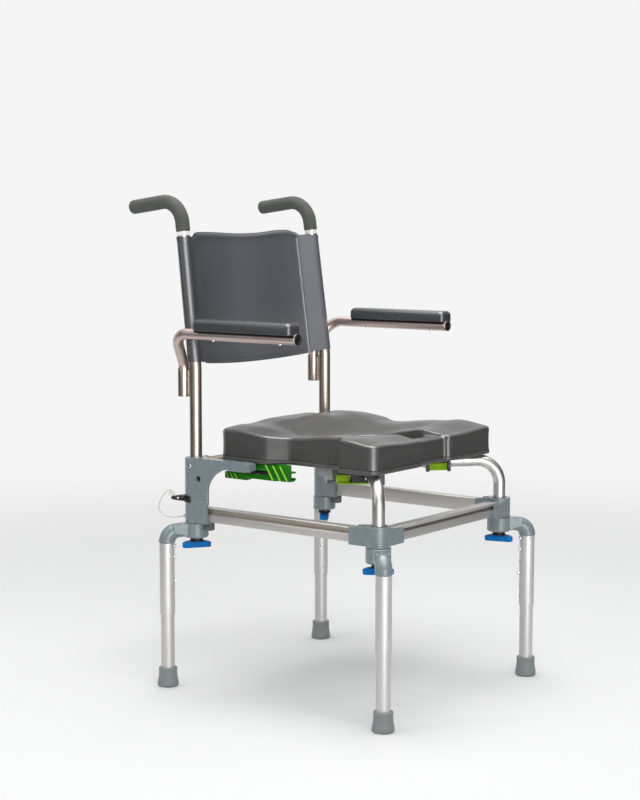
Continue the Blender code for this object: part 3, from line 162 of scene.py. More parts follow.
BRIDGE_Z = TRAY_TOP + 0.0408
CLIP_AT = 0.1385
LATCH_OUT = HALF_W - 0.0085
LATCH_IN = LATCH_OUT - 0.018
LATCH_FRONT = -0.0104
LATCH_BACK = HALF_D - 0.069
LATCH_PLATE = 0.0035
PIN_DIR = (-0.6, 0.8)
PIN_Z = 0.3967
PIN_REACH = 0.0523
LANYARD_CRIMP = (0.0262, 0.3588)
CORD_R = 0.0008
TIP_FOOT_R = 0.0220

SHIFT = Vector((0.0, (HALF_D + LEG_REACH * math.sqrt(0.5) + TIP_FOOT_R
                      - GRIP_CORNER_Y - GRIP_LENGTH / math.hypot(1.0, POST_LEAN)) / 2, 0.0))
SIDES = ("right", "left")    # the sitter's; the right is drawn, and mirrored for the left
CORNERS = {"front_right": (-1.0, -1.0), "front_left": (1.0, -1.0), "rear_right": (-1.0, 1.0),
           "rear_left": (1.0, 1.0)}


# Camera, floor and light

def linear(value):
    value /= 255.0
    return value / 12.92 if value <= 0.04045 else ((value + 0.055) / 1.055) ** 2.4


def rgb(r, g, b):
    return (linear(r), linear(g), linear(b), 1.0)


BACKDROP = rgb(245, 245, 245)
CAMERA_PLACE = (-2.9654, -2.1806 + SHIFT.y, 0.9875)
CAMERA_YAW = math.radians(37.283)
CAMERA_PITCH = math.radians(6.055)
LENS = 79.80
TOWARD_BOX = (-0.5878, -0.8090, 0.0)
AMBIENT = 0.60               # even light of the world
BOX = 7.0                    # brightest part of the soft box, as mirrored
WALLS = ((-1.0, 0.90), (-0.80, 0.90), (-0.55, 0.06), (-0.12, 0.05), (0.25, 0.12), (0.55, 0.30), (0.80, 0.85),
         (0.92, 1.5), (0.955, 2.8), (0.980, BOX))    # cosine from the soft box: brightness
CEILING = ((0.20, 0.30), (0.55, 0.45), (0.70, 0.8), (0.85, 3.0), (0.95, 6.5))    # height: brightness
RISE = (0.20, 0.50)          # heights between which the walls give way to the ceiling


def show(name, data, place=None, way=None):
    """New object of the scene. With a direction, its -Z looks that way."""
    obj = bpy.data.objects.new(name, data)
    bpy.context.scene.collection.objects.link(obj)
    if way is not None:
        obj.location = place
        obj.rotation_mode = "QUATERNION"
        obj.rotation_quaternion = way.to_track_quat("-Z", "Y")
    return obj


def to_mesh(name, bm):
    """Mesh data from a bmesh, which is freed."""
    mesh = bpy.data.meshes.new(name)
    bm.to_mesh(mesh)
    bm.free()
    return mesh


def quads(bm, first, second):
    """Faces between two rings of the same number of points."""
    for i in range(len(first)):
        j = (i + 1) % len(first)
        bm.faces.new((first[i], first[j], second[j], second[i]))


def outward(bm):
    bmesh.ops.recalc_face_normals(bm, faces=bm.faces)
    return bm


def node(tree, kind, inputs, output=0, **settings):
    """Adds a shader node and gives one of its outputs. An input, by name or number, is a value or an output."""
    made = tree.nodes.new("ShaderNode" + kind)
    for key, value in settings.items():
        setattr(made, key, value)
    for key, value in inputs.items():
        if isinstance(value, bpy.types.NodeSocket):
            tree.links.new(value, made.inputs[key])
        else:
            made.inputs[key].default_value = value
    return made.outputs[output] if made.outputs else None


def ramp(tree, value, stops, interpolation="LINEAR"):
    """Grey that follows a value along stops of (value, brightness)."""
    made = tree.nodes.new("ShaderNodeValToRGB")
    band = made.color_ramp
    band.interpolation = interpolation
    while len(band.elements) < len(stops):
        band.elements.new(0.5)
    for element, (at, tone) in zip(band.elements, stops):
        element.position = at
        element.color = (tone, tone, tone, 1.0)
    tree.links.new(value, made.inputs["Fac"])
    return made.outputs["Color"]


def make_camera():
    data = bpy.data.cameras.new("camera")
    data.lens = LENS
    data.sensor_width = 36.0
    level = math.cos(CAMERA_PITCH)
    way = Vector((math.cos(CAMERA_YAW) * level, math.sin(CAMERA_YAW) * level, -math.sin(CAMERA_PITCH)))
    bpy.context.scene.camera = show("camera", data, CAMERA_PLACE, way)


def area_light(name, place, target, size, power):
    data = bpy.data.lights.new(name, "AREA")
    data.shape = "RECTANGLE"
    data.size, data.size_y = size
    data.energy = power
    show(name, data, place, Vector(target) - Vector(place)).visible_camera = False


def make_floor():
    """Pale round floor: it takes the shadow near the chair, fades into the backdrop, and ends sooner in mirrors."""
    bm = bmesh.new()
    turns = [2 * math.pi * i / 96 for i in range(96)]
    rings = [[bm.verts.new((radius * math.cos(t), radius * math.sin(t), 0.0)) for t in turns]
             for radius in (0.6, 1.5, 3.0, 6.0, 12.0)]
    bm.faces.new(rings[0])
    for a, b in zip(rings, rings[1:]):
        quads(bm, b, a)
    floor = show("floor", to_mesh("floor", bm))
    mat = bpy.data.materials.new("floor")
    mat.use_nodes = True
    tree = mat.node_tree
    tree.nodes.clear()
    away = node(tree, "VectorMath", {0: node(tree, "TexCoord", {}, "Object")}, "Value", operation="LENGTH")

    def fade(low, high):
        return node(tree, "MapRange", {"From Min": low, "From Max": high, "Value": away},
                    interpolation_type="SMOOTHERSTEP")

    matt = node(tree, "BsdfDiffuse", {"Color": (0.85, 0.85, 0.85, 1.0)})
    glow = node(tree, "Emission", {"Color": BACKDROP})
    shown = node(tree, "MixShader", {"Fac": fade(0.7, 3.5), 1: matt, 2: glow})
    mirrored = node(tree, "Math", {0: node(tree, "LightPath", {}, "Is Glossy Ray"), 1: fade(0.9, 3.0)},
                    operation="MULTIPLY")
    whole = node(tree, "MixShader", {"Fac": mirrored, 1: shown, 2: node(tree, "BsdfTransparent", {})})
    node(tree, "OutputMaterial", {"Surface": whole})
    floor.data.materials.append(mat)


def make_world():
    """Even light, the pale backdrop for the camera, and for glossy surfaces a studio: a soft box on the
    photographer's side, dark walls beside it, the pale backdrop behind the chair and a bright ceiling."""
    world = bpy.data.worlds.new("studio")
    bpy.context.scene.world = world
    world.use_nodes = True
    tree = world.node_tree
    tree.nodes.clear()
    way = node(tree, "TexCoord", {}, "Generated")
    level = node(tree, "VectorMath", {0: way, 1: (1.0, 1.0, 0.0)}, operation="MULTIPLY")
    unit = node(tree, "VectorMath", {0: level}, operation="NORMALIZE")
    to_box = node(tree, "VectorMath", {0: unit, 1: TOWARD_BOX}, "Value", operation="DOT_PRODUCT")
    height = node(tree, "SeparateXYZ", {"Vector": way}, "Z")

    def shades(value, stops):
        """Background whose brightness follows a value along some stops."""
        colour = ramp(tree, value, [(at, bright / BOX) for at, bright in stops])
        return node(tree, "Background", {"Color": colour, "Strength": BOX})

    share = node(tree, "MapRange", {"From Min": -1.0, "From Max": 1.0, "Value": to_box})
    walls = shades(share, [((at + 1.0) / 2, bright) for at, bright in WALLS])
    rise = node(tree, "MapRange", {"From Min": RISE[0], "From Max": RISE[1], "Value": height},
                interpolation_type="SMOOTHSTEP")
    studio = node(tree, "MixShader", {"Fac": rise, 1: walls, 2: shades(height, CEILING)})
    ray = tree.nodes.new("ShaderNodeLightPath").outputs
    seen = node(tree, "Math", {0: ray["Is Camera Ray"], 1: ray["Is Transmission Ray"]}, operation="MAXIMUM")
    light = node(tree, "Background", {"Color": (0.985, 0.99, 1.0, 1.0), "Strength": AMBIENT})
    shown = node(tree, "Background", {"Color": BACKDROP})
    behind = node(tree, "MixShader", {"Fac": seen, 1: light, 2: shown})
    whole = node(tree, "MixShader", {"Fac": ray["Is Glossy Ray"], 1: behind, 2: studio})
    node(tree, "OutputWorld", {"Surface": whole})


# Materials


def add_bump(tree, height, strength, distance):
    normal = node(tree, "Bump", {"Strength": strength, "Distance": distance, "Height": height})
    tree.links.new(normal, tree.nodes["Principled BSDF"].inputs["Normal"])


def drawn(name, colour, metal, stretch, grain=0.12, rough_vary=0.06):
    """Drawn aluminium, with its grain along one axis."""
    return surface(name, colour, 0.42, metal=metal, stretch=stretch, patch=60, fine=2600, grain=grain,
                   rough_vary=rough_vary)


def surface(name, colour, rough, metal=0.0, vary=0.05, patch=30.0, grain=0.1, fine=900.0,
            stretch=(1.0, 1.0, 1.0), rough_vary=0.06, specular=0.5, edge_wear_and_glint=0.0, cells=False, ior=1.5):
    """Principled material: blotches in colour and gloss, a fine grain in the bump and paler edges, partly wear and
    partly a painted highlight.
    """
    mat = bpy.data.materials.new(name)
    mat.use_nodes = True
    tree = mat.node_tree
    shader = tree.nodes["Principled BSDF"].inputs
    shader["Metallic"].default_value = metal
    shader["Specular IOR Level"].default_value = specular
    shader["IOR"].default_value = ior
    place = node(tree, "Mapping", {"Scale": stretch, "Vector": node(tree, "TexCoord", {}, "Object")})

    def cloud(size, detail, low, high):
        value = node(tree, "TexNoise", {"Scale": size, "Detail": detail, "Vector": place})
        return node(tree, "MapRange", {"From Min": 0.3, "From Max": 0.7, "To Min": low, "To Max": high,
                                       "Value": value})

    def mixed(share, a, b):
        return node(tree, "Mix", {"Factor": share, "A": a, "B": b}, "Result", data_type="RGBA")

    def shifted(factor, more=0.0):
        return (*(min(1.0, c * factor + more) for c in colour[:3]), 1.0)

    tone = mixed(cloud(patch, 4.0, 0.0, 1.0), shifted(1 - vary), shifted(1 + vary))
    # paler sharp edges: partly wear, partly a painted highlight along the edges
    if edge_wear_and_glint:
        edge = node(tree, "MapRange", {"From Min": 0.52, "From Max": 0.62, "To Max": edge_wear_and_glint,
                                       "Value": node(tree, "NewGeometry", {}, "Pointiness")})
        tone = mixed(edge, tone, shifted(1.6, 0.03))
    tree.links.new(tone, shader["Base Color"])
    gloss = cloud(patch * 3.1, 3.0, max(0.02, rough - rough_vary), min(1.0, rough + rough_vary))
    tree.links.new(gloss, shader["Roughness"])
    if grain and cells:
        add_bump(tree, node(tree, "TexVoronoi", {"Scale": fine, "Vector": place}), grain, 0.0002)
    elif grain:
        add_bump(tree, node(tree, "TexNoise", {"Scale": fine, "Detail": 2.0, "Vector": place}), grain, 0.0002)
    return mat


ALONG_X = (0.05, 1, 1)
ALONG_Y = (1, 0.05, 1)
UPRIGHT = (1, 1, 0.06)

CASTING = surface("cast_paint", rgb(121, 134, 138), 0.27, patch=14, vary=0.03, grain=0.03, ior=1.6,
                  rough_vary=0.02)
ANODISED_Z = drawn("anodised_upright", rgb(200, 198, 196), 0.65, UPRIGHT, 0.10, 0.05)
ANODISED = surface("anodised_bent", rgb(192, 190, 186), 0.30, metal=0.95, patch=40, fine=1800,
                   grain=0.05, rough_vary=0.04)
RAIL_SIDE = drawn("rail_side", rgb(202, 198, 194), 0.65, ALONG_Y)
# darker, warm copy of the rail colour for the side rail's upper band: painted reflection and shade
RAIL_BAND_REFLECTION = drawn("rail_band_painted_reflection", rgb(156, 150, 140), 0.65, ALONG_Y)
RAIL_FRONT = drawn("rail_front", rgb(182, 180, 179), 0.60, ALONG_X)
NICKEL = surface("nickel", rgb(172, 160, 148), 0.30, metal=1.0, stretch=(1, 1, 0.1), patch=40,
                 fine=2200, grain=0.05, rough_vary=0.04)
ARM_METAL = surface("nickel_arm", rgb(194, 178, 170), 0.36, metal=0.95, stretch=(1, 0.1, 1), patch=40,
                    fine=2200, grain=0.06, rough_vary=0.04)
RUBBER = surface("tip_rubber", rgb(128, 135, 134), 0.55, patch=50, grain=0.3, fine=1200)
BLACK = surface("black_plastic", rgb(20, 20, 21), 0.40, patch=60, grain=0.25, fine=1500, edge_wear_and_glint=0.15,
                specular=0.35)
# grey a little darker than the cast paint: on the swing stops under the brackets it paints their shade; the connector
# rings take it too
STOP = surface("darker_cast_grey", rgb(88, 93, 94), 0.40, patch=60, grain=0.25, fine=1500, edge_wear_and_glint=0.2)
BLUE = surface("blue_plastic", rgb(1, 111, 185), 0.34, patch=40, grain=0.12, fine=1500, edge_wear_and_glint=0.12,
               specular=0.12)
CHROME = surface("button_steel", rgb(228, 228, 229), 0.14, metal=1.0, patch=80, grain=0.03, fine=2000)
LIME = surface("lime_plastic", rgb(137, 181, 4), 0.34, patch=40, grain=0.15, fine=1500, edge_wear_and_glint=0.2,
               specular=0.12)
GREEN = surface("green_plastic", rgb(22, 104, 4), 0.34, patch=40, grain=0.12, fine=1500, edge_wear_and_glint=0.4,
                specular=0.14)
# the latch's green made paler for its ribs: a painted highlight on the ribs
RIB_HIGHLIGHT = surface("green_rib_painted_highlight", rgb(150, 214, 60), 0.32, patch=40, grain=0.12, fine=1500)
FOAM = surface("grip_foam", rgb(80, 82, 77), 0.72, patch=50, grain=0.5, fine=1900, cells=True,
               specular=0.3)
PAD = surface("arm_pad", rgb(58, 59, 62), 0.29, patch=40, grain=0.03, fine=1500, cells=True, ior=1.7,
              rough_vary=0.02)
CUSHION = surface("seat_foam", rgb(65, 65, 64), 0.31, patch=18, grain=0.03, fine=1300, cells=True, ior=1.7,
                  rough_vary=0.015)
TRAY = surface("tray_plastic", rgb(74, 74, 73), 0.36, patch=40, grain=0.15, fine=1400)
FIN = surface("tray_fin", rgb(150, 152, 154), 0.4, patch=40, grain=0.2, fine=1400)
CORD = surface("lanyard", rgb(190, 180, 172), 0.30, patch=200, grain=0.2, fine=3000)
# strips of rail colour in the grooves: painted shade, warm on the side rails and darker on the front rail
GROOVE_SHADE = surface("rail_groove_painted_shade", rgb(160, 150, 138), 0.5, metal=0.5, stretch=ALONG_Y, patch=60, fine=1800)
FRONT_GROOVE_SHADE = surface("front_groove_painted_shade", rgb(104, 102, 103), 0.5, metal=0.5, stretch=ALONG_X, patch=60, fine=1800)
WHITE = surface("white_band", rgb(232, 232, 232), 0.30, patch=60, fine=1800)
# black plate under the pads, whose black also paints the shadow gap between pad and tube
SHADE = surface("pad_plate", rgb(14, 14, 15), 0.60, patch=60, grain=0.25, fine=1500, specular=0.1)


def sling_material():
    """Coated cloth: fine basket weave in the bump, soft sheen, and painted shade across it, darkest at the sitter's
    right edge.
    """
    mat = surface("sling_cloth", rgb(92, 94, 101), 0.30, patch=9, vary=0.05, grain=0.0, ior=1.9,
                  rough_vary=0.015)
    tree = mat.node_tree
    base = tree.nodes["Principled BSDF"].inputs["Base Color"]
    place = node(tree, "TexCoord", {}, "Object")
    weave = {k: node(tree, "TexWave", {"Scale": 300.0, "Distortion": 0.6, "Detail": 1.0, "Vector": place}, "Fac",
                     bands_direction=axis) for k, axis in enumerate("XZ")}
    across = node(tree, "MapRange", {"From Min": -HALF_W, "From Max": HALF_W,
                                     "Value": node(tree, "SeparateXYZ", {"Vector": place}, "X")})
    # painted shade: the base colour is darkened across the sling along these stops
    shade_across = ramp(tree, across, SLING_PAINTED_SHADE, "EASE")
    shaded_base = node(tree, "Mix", {"Factor": 1.0, "A": base.links[0].from_socket, "B": shade_across}, "Result",
                  data_type="RGBA", blend_type="MULTIPLY")
    tree.links.new(shaded_base, base)
    add_bump(tree, node(tree, "Math", weave, operation="MULTIPLY"), 0.20, 0.0003)
    return mat


SLING = sling_material()
THREAD = surface("thread", rgb(58, 60, 66), 0.6, patch=300, grain=0.3, fine=4000)


# Mesh helpers

def put(name, bm, mat, body="frame", nodes=(), smooth=32.0, mirror=False):
    """Turns a mesh in chair coordinates into a piece that rides on a body and stands for some nodes."""
    if mirror:
        turn(bm, Matrix.Diagonal((-1.0, 1.0, 1.0, 1.0)))
    bmesh.ops.translate(bm, vec=SHIFT, verts=bm.verts)
    limit = math.radians(smooth)
    for edge in bm.edges:
        edge.smooth = len(edge.link_faces) == 2 and edge.calc_face_angle(math.pi) < limit
    for face in bm.faces:
        face.smooth = True
    obj = show(name, to_mesh(name, bm))
    mats = mat if isinstance(mat, list) else [mat]
    for one in mats:
        obj.data.materials.append(one)
    if body:
        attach(obj, body)
    if nodes:
        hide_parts(*nodes)
    return obj


def pair(side, name, bm, mat, node_name=None, body=None):
    """One piece of a pair, drawn on the sitter's right and mirrored for the left."""
    tag = "_" + side
    return put(name + tag, bm, mat, body + tag if body else "frame", [node_name + tag] if node_name else (),
               mirror=side == "left")


def through(bm, *steps):
    """The mesh after modifiers: each step is (type, {setting: value})."""
    obj = show("work", to_mesh("work", bm))
    for kind, settings in steps:
        step = obj.modifiers.new("step", kind)
        for key, value in settings.items():
            setattr(step, key, value)
    seen = obj.evaluated_get(bpy.context.evaluated_depsgraph_get())
    result = bmesh.new()
    result.from_mesh(seen.to_mesh())
    seen.to_mesh_clear()
    drop(obj)
    return result


def drop(obj):
    mesh = obj.data
    bpy.data.objects.remove(obj)
    bpy.data.meshes.remove(mesh)


def combine(first, second, operation):
    tool = show("tool", to_mesh("tool", second))
    result = through(first, ("BOOLEAN", {"operation": operation, "solver": "EXACT", "object": tool}))
    drop(tool)
    bmesh.ops.remove_doubles(result, verts=result.verts, dist=WELD)
    bmesh.ops.dissolve_degenerate(result, dist=WELD, edges=result.edges)
    return result


def union(whole, *parts):
    for part in parts:
        whole = combine(whole, part, "UNION")
    return whole


def cut(body, *tools):
    for tool in tools:
        body = combine(body, tool, "DIFFERENCE")
    return body


def join(whole, *parts):
    """Several meshes as one, not fused."""
    for part in parts:
        mesh = to_mesh("work", part)
        whole.from_mesh(mesh)
        bpy.data.meshes.remove(mesh)
    return whole


def soften(bm, width=0.0006, segments=2, angle=35.0):
    """Small round along every sharp edge."""
    return through(bm, ("BEVEL", {"width": width, "segments": segments, "limit_method": "ANGLE",
                                  "angle_limit": math.radians(angle), "use_clamp_overlap": True,
                                  "miter_outer": "MITER_ARC"}))


def cast(bm, voxel=0.0008, passes=8):
    """Fuses overlapping solids and softens their edges and inner corners like a casting's."""
    return through(bm, ("REMESH", {"mode": "VOXEL", "voxel_size": voxel, "use_smooth_shade": True}),
                   ("SMOOTH", {"factor": 0.5, "iterations": passes}))


def box(x0, x1, y0, y1, z0, z1):
    bm = bmesh.new()
    verts = [bm.verts.new((x, y, z)) for z in (z0, z1) for x, y in ((x0, y0), (x1, y0), (x1, y1), (x0, y1))]
    for face in ((3, 2, 1, 0), (4, 5, 6, 7), (0, 1, 5, 4), (1, 2, 6, 5), (2, 3, 7, 6), (3, 0, 4, 7)):
        bm.faces.new([verts[i] for i in face])
    return bm


def prism(outline, low, high, axis="z"):
    """Outline drawn across an axis, made solid from low to high along it."""
    at = "xyz".index(axis)
    bm = bmesh.new()
    rings = [[bm.verts.new((*p[:at], level, *p[at:])) for p in outline] for level in (low, high)]
    bm.faces.new(list(reversed(rings[0])))
    bm.faces.new(rings[1])
    quads(bm, *rings)
    return outward(bm)


def revolve(profile, sides=64, centre=(0.0, 0.0)):
    """Closed profile of (radius, z) turned about a vertical axis. A point on the axis stays one point."""
    x, y = centre
    turns = [2 * math.pi * i / sides for i in range(sides)]
    bm = bmesh.new()
    rings = [[bm.verts.new((x + radius * math.cos(t), y + radius * math.sin(t), z))
              for t in turns[:sides if radius else 1]] for radius, z in profile]
    for a, b in zip(rings, rings[1:] + rings[:1]):
        for i in range(sides):
            corners = (a[i % len(a)], b[i % len(b)], b[(i + 1) % len(b)], a[(i + 1) % len(a)])
            if len(set(corners)) > 2:
                bm.faces.new(list(dict.fromkeys(corners)))
    return outward(bm)


def turn(bm, matrix):
    bmesh.ops.transform(bm, matrix=matrix, verts=bm.verts)
    if matrix.determinant() < 0:
        bmesh.ops.reverse_faces(bm, faces=bm.faces)
    return bm


def ease(value, low, high):
    t = min(1.0, max(0.0, (value - low) / (high - low)))
    return t * t * (3 - 2 * t)


def fillet(corners, radius, degrees=4.0):
    """Centreline through corners, each inner one rounded."""
    pts = [Vector(c) for c in corners]
    radii = radius if isinstance(radius, (list, tuple)) else [radius] * (len(pts) - 2)
    line = [(pts[0], (pts[1] - pts[0]).normalized())]
    for k in range(1, len(pts) - 1):
        a = (pts[k] - pts[k - 1]).normalized()
        b = (pts[k + 1] - pts[k]).normalized()
        angle = a.angle(b)
        if angle < 1e-4:
            continue
        start = pts[k] - a * radii[k - 1] * math.tan(angle / 2)
        inward = (b - a * a.dot(b)).normalized()
        centre = start + inward * radii[k - 1]
        steps = max(2, round(math.degrees(angle) / degrees))
        for s in range(steps + 1):
            t = angle * s / steps
            line.append((centre - inward * radii[k - 1] * math.cos(t) + a * radii[k - 1] * math.sin(t),
                         (a * math.cos(t) + inward * math.sin(t)).normalized()))
    line.append((pts[-1], (pts[-1] - pts[-2]).normalized()))
    return line


def layered(layers, wrap=False):
    """Mesh through rings of points, joined end to end or with a face at each end."""
    bm = bmesh.new()
    rings = [[bm.verts.new(point) for point in layer] for layer in layers]
    for a, b in zip(rings, rings[1:] + (rings[:1] if wrap else [])):
        quads(bm, a, b)
    if not wrap:
        bm.faces.new(list(reversed(rings[0])))
        bm.faces.new(rings[-1])
    return outward(bm)


def skin(bm, stations, sides):
    """Rings of points along stations of (place, direction, radius), each joined to the next."""
    rings = []
    side = None
    for point, tangent, radius in stations:
        if side is None:
            side = Vector((0.0, 0.0, 1.0) if abs(tangent.x) > 0.9 else (1.0, 0.0, 0.0))
        side = (side - tangent * tangent.dot(side)).normalized()
        other = tangent.cross(side)
        rings.append([bm.verts.new(point + (side * math.cos(2 * math.pi * i / sides)
                                            + other * math.sin(2 * math.pi * i / sides)) * radius)
                      for i in range(sides)])
    for a, b in zip(rings, rings[1:]):
        quads(bm, a, b)
    return rings


def bar(line, radius, sides=32):
    bm = bmesh.new()
    radii = radius if isinstance(radius, list) else [radius] * len(line)
    rings = skin(bm, [(p, t, r) for (p, t), r in zip(line, radii)], sides)
    bm.faces.new(rings[0])
    bm.faces.new(rings[-1])
    return outward(bm)


def pipe(line, radius, wall, sides=48):
    """Open tube with slightly rounded ends."""
    bm = bmesh.new()
    lip = min(0.0004, wall / 3)
    (p0, t0), (p1, t1) = line[0], line[-1]
    outer_line = [(p0, t0, radius - lip), (p0 + t0 * lip, t0, radius)]
    outer_line += [(p, t, radius) for p, t in line[1:-1]]
    outer_line += [(p1 - t1 * lip, t1, radius), (p1, t1, radius - lip)]
    outer = skin(bm, outer_line, sides)
    inner = skin(bm, [(p, t, radius - wall) for p, t in line], sides)
    quads(bm, outer[0], inner[0])
    quads(bm, outer[-1], inner[-1])
    return outward(bm)


def round_edge(profile, radius, steps=3):
    """Open profile of (r, z) points with each inner corner rounded."""
    out = [profile[0]]
    for a, p, b in zip(map(Vector, profile), map(Vector, profile[1:]), map(Vector, profile[2:])):
        reach = min(radius, (a - p).length * 0.45, (b - p).length * 0.45)
        start = p + (a - p).normalized() * reach
        end = p + (b - p).normalized() * reach
        for s in range(steps + 1):
            t = s / steps
            q = start * (1 - t) ** 2 + p * 2 * t * (1 - t) + end * t * t
            out.append((q.x, q.y))
    out.append(profile[-1])
    return out


def disc(radius, low, high, sides=64, centre=(0.0, 0.0), edge=0.0):
    """Upright cylinder, with soft edges where a radius for them is given."""
    profile = [(0.0, low), (radius, low), (radius, high), (0.0, high)]
    return revolve(round_edge(profile, edge) if edge else profile, sides, centre)


def straight(a, b, cuts=1):
    a = Vector(a)
    b = Vector(b)
    way = (b - a).normalized()
    return [(a.lerp(b, i / cuts), way) for i in range(cuts + 1)]


def facing(place, way):
    """Matrix that takes +Z at the origin to that direction at that place."""
    return Matrix.Translation(Vector(place)) @ Vector(way).to_track_quat("Z", "Y").to_matrix().to_4x4()


# Legs

def to_corner(corner):
    sx, sy = CORNERS[corner]
    return Matrix.Translation((sx * HALF_W, sy * HALF_D, 0.0)) @ Matrix.Rotation(math.atan2(sy, sx), 4, "Z")


def leg_elbow():
    """Cast hub, arm and down-turned mouth with its rim."""
    hub = revolve([(0.0, HUB_BOTTOM), (HUB_R - 0.0025, HUB_BOTTOM), (HUB_R, HUB_BOTTOM + 0.0025), (HUB_R, HUB_TOP),
                   (0.0, HUB_TOP)])
    turned = fillet([(0.0, 0.0, ELBOW_AXIS_Z), (LEG_REACH, 0.0, ELBOW_AXIS_Z), (LEG_REACH, 0.0, ELBOW_MOUTH)],
                    ELBOW_BEND)
    line = straight(turned[0][0], turned[1][0], 10) + turned[2:]
    radii = [ARM_NECK_R + (ELBOW_R - ARM_NECK_R) * ease(place.x, 0.026, 0.060) for place, _ in line]
    web = prism([(0.012, HUB_TOP - 0.0006), (0.050, ELBOW_AXIS_Z + 0.0120), (0.046, ELBOW_AXIS_Z - 0.0050),
                 (0.012, HUB_BOTTOM + 0.001)], -0.0165, 0.0165, axis="y")
    rim = disc(ELBOW_R + 0.0004, ELBOW_MOUTH, ELBOW_MOUTH + 0.0040, 64, (LEG_REACH, 0.0))
    return cast(join(hub, bar(line, radii, 48), web, rim), 0.0008, 6)


def leg_tube(low, high, radius, wall, holes):
    """Upright tube of a leg, with button holes on the side that faces the chair."""
    tube = pipe(straight((LEG_REACH, 0.0, low), (LEG_REACH, 0.0, high)), radius, wall, 64)
    return cut(tube, *[turn(disc(HOLE_R, 0.0, 0.03, 32), inward(z, 0.0)) for z in holes])


def leg_tip():
    profile = [(0.0, 0.0), (TIP_FOOT_R - 0.0048, 0.0), (TIP_FOOT_R - 0.0012, 0.0010), (TIP_FOOT_R, 0.0040),
               (TIP_FOOT_R - 0.0003, 0.0095), (TIP_FOOT_R - 0.0014, 0.0150), (TIP_TOP_R + 0.0006, 0.0200),
               (TIP_TOP_R + 0.0001, 0.0280), (TIP_TOP_R - 0.0001, 0.0338), (TIP_TOP_R + 0.0003, 0.0346),
               (TIP_TOP_R + 0.0002, 0.0388), (TIP_TOP_R - 0.0012, TIP_TOP), (LEG_INNER_R + GAP, TIP_TOP),
               (LEG_INNER_R + GAP, 0.0115), (0.0, 0.0115)]
    return revolve(round_edge(profile, 0.0009), 64, (LEG_REACH, 0.0))


def dome(radius, rise):
    steps = 8
    profile = [(0.0, -0.003), (radius, -0.003)]
    profile += [(radius * math.cos(a), rise * math.sin(a)) for a in [math.pi / 2 * i / steps for i in range(steps)]]
    profile.append((0.0, rise))
    return revolve(profile, 32)


def inward(z, reach):
    """Matrix from +Z to the side of the leg that faces the chair."""
    return Matrix.Translation((LEG_REACH - reach, 0.0, z)) @ Matrix.Rotation(-math.pi / 2, 4, "Y")


def clamp_lever():
    """Blue wing handle, thicker in the middle, with rounded ends and a recess for its bolt."""
    half = 0.0305
    flat = 0.0140
    end_r = 0.008
    edge = 0.0020
    top = COLLAR_BOTTOM - GAP

    def ring(inset, z, fall):
        wide = 0.010 - inset
        points = []
        for end in (1.0, -1.0):
            for k in range(13):
                angle = math.radians(-90 + 15 * k)
                points.append((end * (half - end_r + (end_r - inset) * math.cos(angle)),
                               end * wide * math.sin(angle)))
            points += [(end * (half - end_r) * (1 - 2 * k / 12), end * wide) for k in range(1, 12)]
        return [(x, y, z - fall * ease(abs(x), flat, half)) for x, y in points]

    quarter = [math.pi / 2 * k / 4 for k in range(5)]
    layers = [ring(edge * (1 - math.sin(a)), LEVER_BOTTOM + edge * (1 - math.cos(a)), 0.0) for a in quarter]
    layers += [ring(edge * (1 - math.cos(a)), top - edge * (1 - math.sin(a)), 0.0030) for a in quarter]
    crest = layers[-1]
    layers += [[(x, y * share, z) for x, y, z in crest] for share in (0.75, 0.5, 0.25)]
    return cut(layered(layers), disc(0.0062, LEVER_BOTTOM - 0.001, LEVER_BOTTOM + 0.0022, 32))


def make_legs():
    elbow = leg_elbow()
    outer = leg_tube(OUTER_BOTTOM, OUTER_TOP, LEG_OUTER_R, LEG_OUTER_R - LEG_BORE_R,
                     [BUTTON_Z + step * HOLE_PITCH for step in (-2, -1, 0, 1, 2)])
    for corner, (sx, sy) in CORNERS.items():
        tag = "_" + corner
        place = to_corner(corner)
        spin = (Matrix.Translation((sx * HALF_W, sy * HALF_D, 0.0))
                @ Matrix.Rotation(math.radians(LEVER_ANGLES[corner]), 4, "Z"))

        def fit(name, bm, mat, body, node_name=None):
            put(name + tag, turn(bm, spin if body == "clamp" else place), mat, body + tag,
                [node_name + tag] if node_name else ())

        fit("elbow", elbow.copy(), CASTING, "leg_arm", "leg_elbow")
        fit("outer_leg", outer.copy(), ANODISED_Z, "leg_arm", "leg_outer_tube")
        inner = leg_tube(TIP_SEAT, INNER_TOP, LEG_INNER_R, TUBE_WALL, [BUTTON_Z])
        fit("inner_leg", inner, ANODISED_Z, "leg_foot", "leg_inner_tube")
        fit("ferrule", leg_tip(), RUBBER, "leg_foot", "leg_tip")
        button = turn(dome(BUTTON_R, BUTTON_RISE), inward(BUTTON_Z, BUTTON_REACH - BUTTON_RISE))
        shank = turn(disc(BUTTON_R, 0.011, 0.0175, 32), inward(BUTTON_Z, 0.0))
        fit("button", join(button, shank), CHROME, "button", "snap_button")
        for k, z in enumerate(RIVETS_Z):
            rivet = turn(dome(0.0044, 0.0036), inward(z, LEG_OUTER_R - 0.0002))
            fit("leg_rivet_%d" % k, rivet, CHROME, "leg_arm")
        collar = [(0.0, COLLAR_BOTTOM), (COLLAR_R + 0.002, COLLAR_BOTTOM), (COLLAR_R, COLLAR_BOTTOM + 0.004),
                  (COLLAR_R, HUB_BOTTOM - GAP), (0.0, HUB_BOTTOM - GAP)]
        fit("clamp_ring", revolve(round_edge(collar, 0.0008)), BLACK, "clamp", "clamp_collar")
        fit("clamp_wing", clamp_lever(), BLUE, "clamp", "clamp_lever")
        fit("clamp_bolt", disc(0.0050, LEVER_BOTTOM + 0.0004, LEVER_BOTTOM + 0.0024, 6, edge=0.0006), CHROME, "clamp")
    elbow.free()
    outer.free()


# Frame

